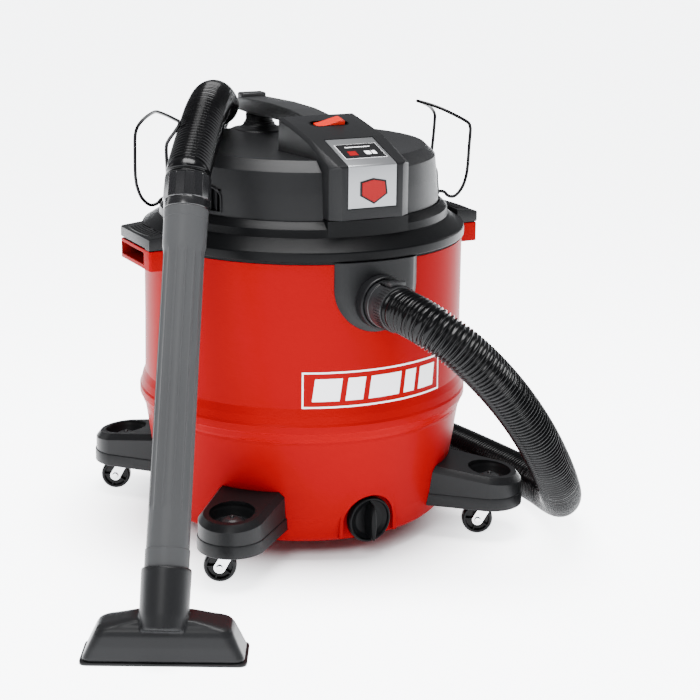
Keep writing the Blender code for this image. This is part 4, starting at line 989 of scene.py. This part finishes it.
# ---------------------------------------------------------------- lid base
# The black ring that closes the tank: a flange over the rim, a sloping shoulder, a short wall and
# a narrow cone that meets the motor cover in a dark seam. It carries the console's foot in front.
lid_ring = softened([(0.0360, 0.4300), (0.0360, 0.4337), (0.1940, 0.4337), (0.1940, 0.4440),
                     (0.1783, 0.4521), (0.1783, 0.4552),
                     (0.1864, 0.4552), (0.1868, 0.4560), (0.1884, 0.4582, 0.0006), (0.1986, 0.4490,
                             0.0010), (0.1990, 0.4380, 0.0015),
                     (0.2010, 0.4372, 0.0008), (0.2218, 0.4244, 0.0012), (0.2229, 0.4226, 0.0008), (0.2229,
                             0.4124, 0.0010), (0.2216, 0.4114, 0.0005),
                     (0.2155, 0.4114), (0.2155, 0.3960), (0.2125, 0.3960), (0.2125, 0.4300)], 0.0, 3)
lid_base = finished(spun(lid_ring, 256), "lid_ring", deep_black)
step = [(0.0590, -0.1700)] + [(0.1994 * math.sin(math.radians(a)), -0.1994 * math.cos(math.radians(a)))
                              for a in (17.2, 14, 11, 8, 5, 2, -1, -4, -7, -10, -13, -16,
                                        -17.2)] + [(-0.0590, -0.1700)]
carved(lid_base, [('UNION', slab(step, 0.4390, 0.4600, 'Z')),
                  ('DIFFERENCE', block((-0.0540, -0.1850, 0.4550), (0.0540, -0.1500, 0.47)))], smooth=28)
fixed_on(lid_base, "lid", ["lid_base"])


# ---------------------------------------------------------------- motor cover
# A big charcoal dome with a nearly flat top and a chamfered rim. A vent recess with upright slats
# opens on each side, and a flared boss at the back carries the handle's post.
def round_wall(azimuth, radius, z):
    return Vector((radius * math.sin(math.radians(azimuth)), -radius * math.cos(math.radians(azimuth)), z))


def tube(name, points, radius, material, sides=12, step=None):
    """A round wire through the given points."""
    pts = smooth_route(points, step) if step else [Vector(p) for p in points]
    bm = bmesh.new()
    up = Vector((0, 0, 1))
    first = (pts[1] - pts[0]).normalized()
    side = first.cross(up) if abs(first.z) < 0.9 else first.cross(Vector((1, 0, 0)))
    side.normalize()
    rings = []
    for i, p in enumerate(pts):
        ahead = (pts[min(i + 1, len(pts) - 1)] - pts[max(i - 1, 0)]).normalized()
        side = (side - ahead * side.dot(ahead)).normalized()
        other = ahead.cross(side)
        rings.append([bm.verts.new(p + side * (radius * math.cos(2 * math.pi * k / sides)) + other
                                   * (radius * math.sin(2 * math.pi * k / sides)))
                      for k in range(sides)])
    bm.faces.new(rings[0])
    bm.faces.new(rings[-1])
    for a, b in zip(rings, rings[1:]):
        for k in range(sides):
            j = (k + 1) % sides
            bm.faces.new((a[k], a[j], b[j], b[k]))
    return finished(bm, name, material, smooth=50)


dome_top = softened([(0, 0.5286), (0.0600, 0.5296), (0.1250, 0.5322), (0.1500, 0.5333),
                     (0.1664, 0.5338, 0.0016), (0.1808, 0.5200, 0.0020),
                     (0.1838, 0.4925, 0.004), (0.1866, 0.4558, 0.0004), (0.1796, 0.4558), (0.1770,
                             0.4925), (0.1740, 0.5180), (0.1650, 0.5268),
                     (0.1500, 0.5280), (0, 0.5240)], 0.0, 4)
cover = finished(spun(dome_top, 256), "motor_dome", charcoal)
boss = softened([(0, 0.5250), (0.0420, 0.5285), (0.0400, 0.5334, 0.003), (0.0300, 0.5350, 0.006),
                 (0.0235, 0.5385, 0.004), (0.0222, 0.5425, 0.0008), (0, 0.5425)], 0.0, 5)
vent_cut = bmesh.new()
for side in (-1, 1):
    wedge = [tuple(round_wall(side * (61.5 + 36 * k / 14), 0.205, 0))[:2] for k in range(15)] + \
        [tuple(round_wall(side * (61.5 + 36 * (14 - k) / 14), 0.1795, 0))[:2] for k in range(15)]
    slab(wedge, 0.4630, 0.4930, 'Z', bm=vent_cut)
carved(cover, [('UNION', spun(boss, 72, at(0, 0.1480, 0))), ('DIFFERENCE',
        block((-0.0583, -0.30, 0.40), (0.0583, -0.0400, 0.60))),
               ('DIFFERENCE', vent_cut)], smooth=26)
fixed_on(cover, "lid", ["motor_cover"])

for side, label in ((-1, "left"), (1, "right")):
    rim = [round_wall(side * a, 0.1846, z) for a, z in ((96.5, 0.4935), (90, 0.4948), (80, 0.4955),
                                                        (71, 0.4955), (66.5, 0.4945), (63.0, 0.4895), (61.6,
                                                                0.4830))] + \
        [round_wall(side * 61.2, 0.1858, 0.4720), round_wall(side * 61.2, 0.1864, 0.4625)]
    fixed_on(tube("vent_rim_" + label, rim, 0.0014, charcoal, 10, 0.003), "lid")
    slat = finished(block((-0.0009, -0.1845, 0.4632), (0.0009, -0.1790, 0.4928), soft=0.0003, steps=1),
                    "slat", deep_black)
    slat.data.transform(Matrix.Rotation(math.radians(side * 64.0), 4, 'Z'))
    slats = grown(slat, ring_tree, {"Count": 11, "Step angle": side * math.radians(3.1),
                                    "Material": deep_black}, "vent_slats_" + label)
    fixed_on(slats, "lid")

# ---------------------------------------------------------------- console
# The charcoal hood in front: a flat front with broad bevels, a slope with narrow ones, a shallow
# pocket for the silver plate and an oval well for the switch.
SLOPE = [(-0.2006, 0.4612, 0.0440), (-0.2006, 0.5292, 0.0440), (-0.1990, 0.5320, 0.0485),
         (-0.1290, 0.5572, 0.0530), (-0.0860, 0.5668, 0.0530),
         (-0.0403, 0.5755, 0.0530)]
EDGE = [(-0.1905, 0.4612), (-0.1905, 0.5262), (-0.1900, 0.5295), (-0.1270, 0.5530), (-0.0850, 0.5632),
        (-0.0403, 0.5722)]
hood = bmesh.new()
sides = {}
for sx in (-1, 1):
    sides[sx] = ([hood.verts.new((sx * w, y, z)) for y, z, w in SLOPE],
                 [hood.verts.new((sx * 0.0580, y, z)) for y, z in EDGE],
                 hood.verts.new((sx * 0.0580, -0.0403, 0.4612)))
for k in range(len(SLOPE) - 1):
    hood.faces.new((sides[-1][0][k], sides[1][0][k], sides[1][0][k + 1], sides[-1][0][k + 1]))
    for sx in (-1, 1):
        hood.faces.new((sides[sx][0][k], sides[sx][1][k], sides[sx][1][k + 1], sides[sx][0][k + 1]))
for sx in (-1, 1):
    hood.faces.new(sides[sx][1] + [sides[sx][2]])
hood.faces.new([sides[-1][0][-1], sides[1][0][-1], sides[1][1][-1], sides[1][2], sides[-1][2],
                sides[-1][1][-1]])
hood.faces.new([sides[-1][0][0], sides[1][0][0], sides[1][1][0], sides[1][2], sides[-1][2],
                sides[-1][1][0]])
bmesh.ops.recalc_face_normals(hood, faces=hood.faces)
bmesh.ops.triangulate(hood, faces=[f for f in hood.faces if len(f.verts) == 4])
bmesh.ops.bevel(hood, geom=[e for e in hood.edges if e.calc_face_angle() > math.radians(12)], offset=0.0007,
                segments=2, affect='EDGES',
                profile=0.5, clamp_overlap=True)
console = finished(hood, "console_hood", charcoal)
SWITCH = Matrix.Translation((0.0, -0.0755, 0.5690)) @ Matrix.Rotation(math.radians(11.5), 4, 'X')
OVAL_X = 0.0170


def oval(radius):
    return arc(OVAL_X, 0, radius, -90, 90, 20) + arc(-OVAL_X, 0, radius, 90, 270, 20)


pocket = [(-0.1995, 0.4750), (-0.1995, 0.5296), (-0.1984, 0.5308), (-0.1312, 0.5549), (-0.1335, 0.5612),
          (-0.2040, 0.5360), (-0.2040, 0.4750)]
carved(console, [('DIFFERENCE', slab(pocket, -0.0359, 0.0359, 'X')),
                 ('DIFFERENCE', slab(oval(0.0121), -0.0140, 0.03, 'Z', matrix=SWITCH))], smooth=18)
fixed_on(console, "lid", ["console"])

# ---------------------------------------------------------------- silver plate, label and badge
# A thin brushed silver plate bent over the console's edge in a groove, where a black sheet under it paints
# the groove's shade. A black information label lies on its slope, and a small red shield with a dark border
# sits on its front.
silver = moulded("brushed silver", (0.19, 0.194, 0.200), 0.38, grain=400, relief=0.04, drift=0.04,
                 metal=0.85)
shade_black = moulded("groove black", (0.0020, 0.0020, 0.0022), 0.6, grain=900, relief=0.05)
# A thin black sheet in the plate's pocket, showing round the plate's edge: painted shade in the groove.
groove_shade_sheet = [(-0.1992, 0.4752), (-0.1992, 0.5297), (-0.1981, 0.5309), (-0.1314, 0.5548), (-0.1315, 0.5550),
         (-0.1983, 0.5312), (-0.1996, 0.5298), (-0.1996, 0.4752)]
fixed_on(finished(slab(groove_shade_sheet, -0.0358, 0.0358, 'X'), "plate_groove", shade_black), "lid")
plate_side = softened([(-0.1994, 0.4762), (-0.1994, 0.5296, 0.0006), (-0.1982, 0.5310, 0.0006),
                       (-0.1324, 0.5547), (-0.1327, 0.5556), (-0.1988, 0.5319, 0.0010),
                       (-0.2003, 0.5300, 0.0010), (-0.2003, 0.4762)], 0.0, 3)
silver_plate = finished(slab(plate_side, -0.0348, 0.0348, 'X', soft=0.0002), "silver_plate", silver)
fixed_on(silver_plate, "lid", ["badge_plate"])

LABEL = Matrix.Translation((0, -0.16575, 0.54372)) @ Matrix.Rotation(math.atan2(0.0237, 0.0661), 4, 'X')


def decal(name, outlines, low, high, material, matrix, axis='Z', replaces=()):
    bm = bmesh.new()
    for outline in outlines:
        slab(outline, low, high, axis, bm=bm, matrix=matrix)
    ob = finished(bm, name, material, merge=False)
    return fixed_on(ob, "lid", replaces)


def lean_box(x0, x1, y0, y1, lean=0.0):
    return [(x0 + lean * y0, y0), (x1 + lean * y0, y0), (x1 + lean * y1, y1), (x0 + lean * y1, y1)]


decal("label_border", [lean_box(-0.0300, 0.0300, -0.0190, 0.0190)], 0.0002, 0.0006, print_white,
      LABEL)
decal("label_face", [lean_box(-0.0294, 0.0294, -0.0184, 0.0184)], 0.0004, 0.0008, print_black,
      LABEL, replaces=["label_panel"])
decal("label_bars", [lean_box(-0.0180, 0.0180, 0.0096, 0.0114), lean_box(0.0040, 0.0120, -0.0100, -0.0010),
                     lean_box(0.0140, 0.0200, -0.0100, -0.0010)],
      0.0006, 0.0009, print_white, LABEL)
decal("label_block", [lean_box(-0.0200, -0.0080, -0.0110, 0.0000)], 0.0006, 0.0009, print_red,
      LABEL)
SHIELD = [(0.0008, 0.5141), (0.0193, 0.5104), (0.0217, 0.4929), (0.0020, 0.4804), (-0.0180, 0.4918),
          (-0.0181, 0.5102)]
mid = Vector((0.0010, 0.4985))


def shrink(points, part):
    return [tuple(mid + (Vector(p) - mid) * part) for p in points]


decal("shield_border", [softened(SHIELD, 0.0010, 3)], -0.2012, -0.2001, print_black, None, 'Y')
decal("shield_face", [softened(shrink(SHIELD, 0.86), 0.0010, 3)], -0.2018, -0.2006, print_red,
      None, 'Y', ["badge"])

# ---------------------------------------------------------------- switch
# An oval black bezel set into the console's well, and a glossy orange-red rocker on a cross pin,
# standing higher at its right end.
rocker_red = moulded("rocker orange red", (0.36, 0.008, 0.002), 0.25, grain=900, relief=0.04, drift=0.04)
bezel = finished(slab(oval(0.0118), -0.0120, 0.0002, 'Z', soft=0.0006, matrix=SWITCH), "switch_ring",
                 deep_black)
carved(bezel, [('DIFFERENCE', slab(oval(0.0102), -0.03, 0.02, 'Z', matrix=SWITCH))])
fixed_on(bezel, "lid", ["switch_bezel"])
rocker_side = softened([(-0.0192, -0.0030), (-0.0150, -0.0065), (0.0150, -0.0065), (0.0192, -0.0010),
                        (0.0196, 0.0056, 0.0016), (0.0156, 0.0078, 0.003),
                        (0.0060, 0.0050, 0.010), (-0.0100, 0.0006, 0.010), (-0.0194, -0.0008,
                                0.001)], 0.0005, 5)
rocker = finished(slab(rocker_side, -0.0085, 0.0085, 'Y', soft=0.0008,
                       matrix=SWITCH @ Matrix.Translation((0, 0,
                               -0.0010)), steps=3), "rocker_key", rocker_red)
fixed_on(rocker, "rocker", ["switch_rocker"])

# ---------------------------------------------------------------- carrying handle
# A hollow moulded bar with a fine leather-like grain, rising out of the console and ending over
# a round post at the back of the cover.
grip_grain = moulded("grained charcoal", (0.0080, 0.0082, 0.0086), 0.46, grain=650, relief=0.55, shine=0.25)
bar = softened([(-0.0397, 0.5585), (0.0050, 0.5600), (0.1220, 0.5562), (0.1780, 0.5570, 0.003),
                (0.1835, 0.5640, 0.003), (0.1830, 0.5740, 0.002),
                (0.1700, 0.5768, 0.002), (0.0700, 0.5800, 0.020), (0.0050, 0.5790, 0.010), (-0.0397,
                        0.5750)], 0.0, 5)
handle = finished(slab(bar, -0.0200, 0.0200, 'X', soft=0.0042, steps=3), "handle_bar", grip_grain)
carved(handle, [('UNION', block((-0.0192, 0.1640, 0.5640), (0.0192, 0.1834, 0.5830), soft=0.0028,
                                steps=3))], smooth=30)
fixed_on(handle, "lid", ["handle"])
post = softened([(0, 0.5428), (0.0206, 0.5428), (0.0206, 0.5448, 0.0008), (0.0195, 0.5462, 0.0008),
                 (0.0195, 0.5557), (0, 0.5557)], 0.0, 3)
fixed_on(finished(spun(post, 72, at(0, 0.1480, 0)), "handle_foot_post", charcoal), "lid",
         ["handle_post"])

# ---------------------------------------------------------------- latches
# A hinged black cap on each ear: a flat sloping top with raised ribs that follow the tank's
# curve, two slots near the lid and a tongue that reaches down to the hinge pin.
for key, sx, body in (("l", -1, "latch_left"), ("r", 1, "latch_right")):
    outline = softened([(sx * 0.2120, 0.4117), (sx * 0.2473, 0.4117), (sx * 0.2493, 0.4134),
                        (sx * 0.2493, 0.4259, 0.0012), (sx * 0.2474, 0.4276, 0.0012),
                        (sx * 0.2120, 0.4314)], 0.0006, 3)
    lever = finished(slab(outline, -0.0550, 0.0510, 'Y', soft=0.0010), "latch_lever_" + key, charcoal)
    xs = sorted((sx * 0.2401, sx * 0.2481))
    ribs = bmesh.new()
    for radius in (0.2292, 0.2336, 0.2380, 0.2424, 0.2464):
        row = []
        for k in range(21):
            y = -0.0440 + 0.0840 * k / 20
            x = math.sqrt(radius ** 2 - y * y)
            top = 0.4314 - (x - 0.2120) * 0.1075
            lift = 0.0009 if 0 < k < 20 else 0.0
            row.append([ribs.verts.new((sx * (x + dx), y, top + dz)) for dx,
                        dz in ((-0.0011, -0.0012), (-0.0008, lift), (0.0008, lift), (0.0011, -0.0012))])
        ribs.faces.new(row[0])
        ribs.faces.new(row[-1])
        for a, b in zip(row, row[1:]):
            for i in range(4):
                j = (i + 1) % 4
                ribs.faces.new((a[i], a[j], b[j], b[i]))
    web = block((xs[0], -0.0510, 0.3902), (xs[1], -0.0360, 0.4164), soft=0.0006)
    slots = bmesh.new()
    for y0, y1 in ((-0.0400, -0.0060), (0.0020, 0.0360)):
        row = sorted((sx * 0.2238, sx * 0.2262))
        block((row[0], y0, 0.4262), (row[1], y1, 0.45), bm=slots)
    carved(lever, [('UNION', web), ('UNION', ribs), ('DIFFERENCE', slots),
                   ('DIFFERENCE', spun([(0, 0.40), (0.2234, 0.40), (0.2234, 0.45), (0, 0.45)], 256)),
                   ('DIFFERENCE', spun([(0, -0.06), (0.0024, -0.06), (0.0024, 0.06), (0, 0.06)], 32,
                                       at(sx * 0.2441, 0, 0.3940, FORWARD)))], smooth=28)
    fixed_on(lever, body, ["latch_" + key])
    pin = softened([(0, 0.0330), (0.0022, 0.0330), (0.0022, 0.0516), (0, 0.0516)], 0.0003, 2)
    fixed_on(finished(spun(pin, 32, at(sx * 0.2441, 0, 0.3940, FORWARD)), "latch_hinge_pin_" + key,
                      bright_zinc), "tank", ["latch_pin_" + key])

# ---------------------------------------------------------------- wire hooks
# One bent steel wire on each side of the cover, dipped in glossy black, to hang the hose and the
# cord on: both ends spring into the cover's wall and run out over the ledge.
wire_black = moulded("wire gloss black", (0.0012, 0.0012, 0.0014), 0.24, grain=700, relief=0.08, shine=0.10)
LEDGE_Z = 0.4557
WIRE_R = 0.0023


def hook_leg(sx, y):
    xe = math.sqrt(0.1869 ** 2 - y * y)
    out = [(xe, LEDGE_Z + 0.0055), (0.1870, LEDGE_Z + 0.0049), (0.1920, LEDGE_Z + 0.0028),
           (0.1958, LEDGE_Z - 0.0012), (0.2010, LEDGE_Z - 0.0036),
           (0.2078, LEDGE_Z - 0.0034), (0.2150, 0.4575), (0.2215, 0.4665), (0.2262, 0.4800)]
    return [(sx * x, y, z) for x, z in out]


hook_r = hook_leg(1, -0.060) + [(0.2284, -0.060, 0.4960), (0.2297, -0.060, 0.5211),
                                (0.2312, -0.060, 0.5430), (0.2306, -0.0595, 0.5500),
                                (0.2258, -0.058, 0.5570), (0.2023, -0.042, 0.5710), (0.1880, -0.024,
                                        0.5780), (0.1760, -0.006, 0.5820),
                                (0.1940, 0.014, 0.5770), (0.2185, 0.036, 0.5680), (0.2321, 0.047,
                                        0.5600), (0.2368, 0.049, 0.5530),
                                (0.2370, 0.049, 0.5460), (0.2354, 0.049, 0.5230), (0.2335, 0.049,
                                        0.5044), (0.2310, 0.049, 0.4900)] + hook_leg(1, 0.049)[::-1]
hook_l = hook_leg(-1, -0.060) + [(-0.2250, -0.060, 0.4950), (-0.2252, -0.060, 0.5150),
                                 (-0.2262, -0.060, 0.5467), (-0.2250, -0.065, 0.5570),
                                 (-0.2222, -0.078, 0.5690), (-0.2190, -0.088, 0.5820), (-0.2190, -0.070,
                                         0.5850), (-0.2165, -0.020, 0.5860),
                                 (-0.2145, 0.014, 0.5830), (-0.2198, 0.044, 0.5680), (-0.2270, 0.049,
                                         0.5520), (-0.2283, 0.049, 0.5230),
                                 (-0.2282, 0.049, 0.4961), (-0.2270, 0.049, 0.4850)] + hook_leg(-1,
                                         0.049)[::-1]
fixed_on(tube("wire_hook_r", hook_r, WIRE_R, wire_black, 14, 0.0022), "lid", ["hook_r"])
fixed_on(tube("wire_hook_l", hook_l, WIRE_R, wire_black, 14, 0.0022), "lid", ["hook_l"])

# ---------------------------------------------------------------- pleated filter and what holds it
# A paper cartridge with sharp pleats between two rubbery end rings, pushed over the cage under
# the lid and held by a round plate and a ribbed nut.
paper = moulded("filter paper", (0.66, 0.63, 0.55), 0.85, grain=1800, relief=0.4, drift=0.08)
rubber = moulded("seal rubber", (0.0050, 0.0050, 0.0054), 0.75, grain=1200, relief=0.2)
PLEATS = 72
pleats = bmesh.new()
rings = []
for z, inner in ((0.2740, False), (0.4200, False), (0.4200, True), (0.2740, True)):
    rings.append([pleats.verts.new(((0.0560 if inner else (0.0868 if k % 2 else 0.0760))
                                    * math.cos(math.pi * k / PLEATS),
                                    (0.0560 if inner else (0.0868 if k % 2 else 0.0760)) * math.sin(math.pi
                                            * k / PLEATS), z)) for k in range(2 * PLEATS)])
for i, a in enumerate(rings):
    b = rings[(i + 1) % 4]
    for k in range(2 * PLEATS):
        j = (k + 1) % (2 * PLEATS)
        pleats.faces.new((a[k], a[j], b[j], b[k]))
fixed_on(finished(pleats, "filter_pleats", paper, smooth=10), "filter_set", ["filter"])
ends = bmesh.new()
for z0, z1 in ((0.2701, 0.2745), (0.4195, 0.4239)):
    spun(softened([(0.0542, z0), (0.0880, z0), (0.0880, z1), (0.0542, z1)], 0.0010, 3), 96, bm=ends)
fixed_on(finished(ends, "filter_end_rings", rubber, merge=False), "filter_set")
base_plate = softened([(0.0055, 0.2640), (0.0200, 0.2640, 0.001), (0.0230, 0.2655, 0.001),
                       (0.0780, 0.2655, 0.001), (0.0810, 0.2640, 0.001), (0.0880, 0.2640, 0.0012),
                       (0.0890, 0.2665, 0.0010), (0.0880, 0.2690, 0.0006), (0.0055, 0.2690)], 0.0, 3)
fixed_on(finished(spun(base_plate, 96), "filter_base_plate", deep_black), "filter_set",
         ["filter_plate"])
nut_bm = spun(softened([(0.0052, 0.2480), (0.0136, 0.2480), (0.0150, 0.2500), (0.0150, 0.2612),
                        (0.0138, 0.2634), (0.0052, 0.2634)], 0.0008, 3), 64)
fixed_on(finished(nut_bm, "filter_knob", deep_black), "nut", ["filter_nut"])
knurl = grown(finished(block((0.0146, -0.0011, 0.2500), (0.0160, 0.0011, 0.2612), soft=0.0004, steps=1),
                       "knurl", deep_black), ring_tree,
             {"Count": 12, "Step angle": 2 * math.pi / 12, "Material": deep_black}, "filter_knob_ribs")
fixed_on(knurl, "nut")
float_white = moulded("float white plastic", (0.66, 0.65, 0.61), 0.45, grain=900, relief=0.08)
ball = [(0, 0.2745)] + [(0.0420 * math.cos(math.radians(a)), 0.3060 + 0.0315 * math.sin(math.radians(a)))
                        for a in range(-84, 85, 8)] + [(0, 0.3375)]
fixed_on(finished(spun(ball, 64), "float_shell", float_white, smooth=60), "float_ball",
         ["float"])

# ---------------------------------------------------------------- what keeps its frame shape
# Parts inside the machine stay as they were built and only take their finish: the cage, the
# motor's housing, the rotor and fan, and the two rubber seals.
fan_metal = moulded("cast aluminium", (0.55, 0.56, 0.57), 0.38, grain=600, relief=0.2, metal=0.9)
for node, finish_of in (("filter_cage", deep_black), ("motor", charcoal), ("rotor", bright_zinc),
                        ("impeller", fan_metal), ("lid_gasket", rubber),
                        ("drain_seal", rubber)):
    ob = bpy.data.objects[node]
    ob.data.materials.clear()
    ob.data.materials.append(finish_of)
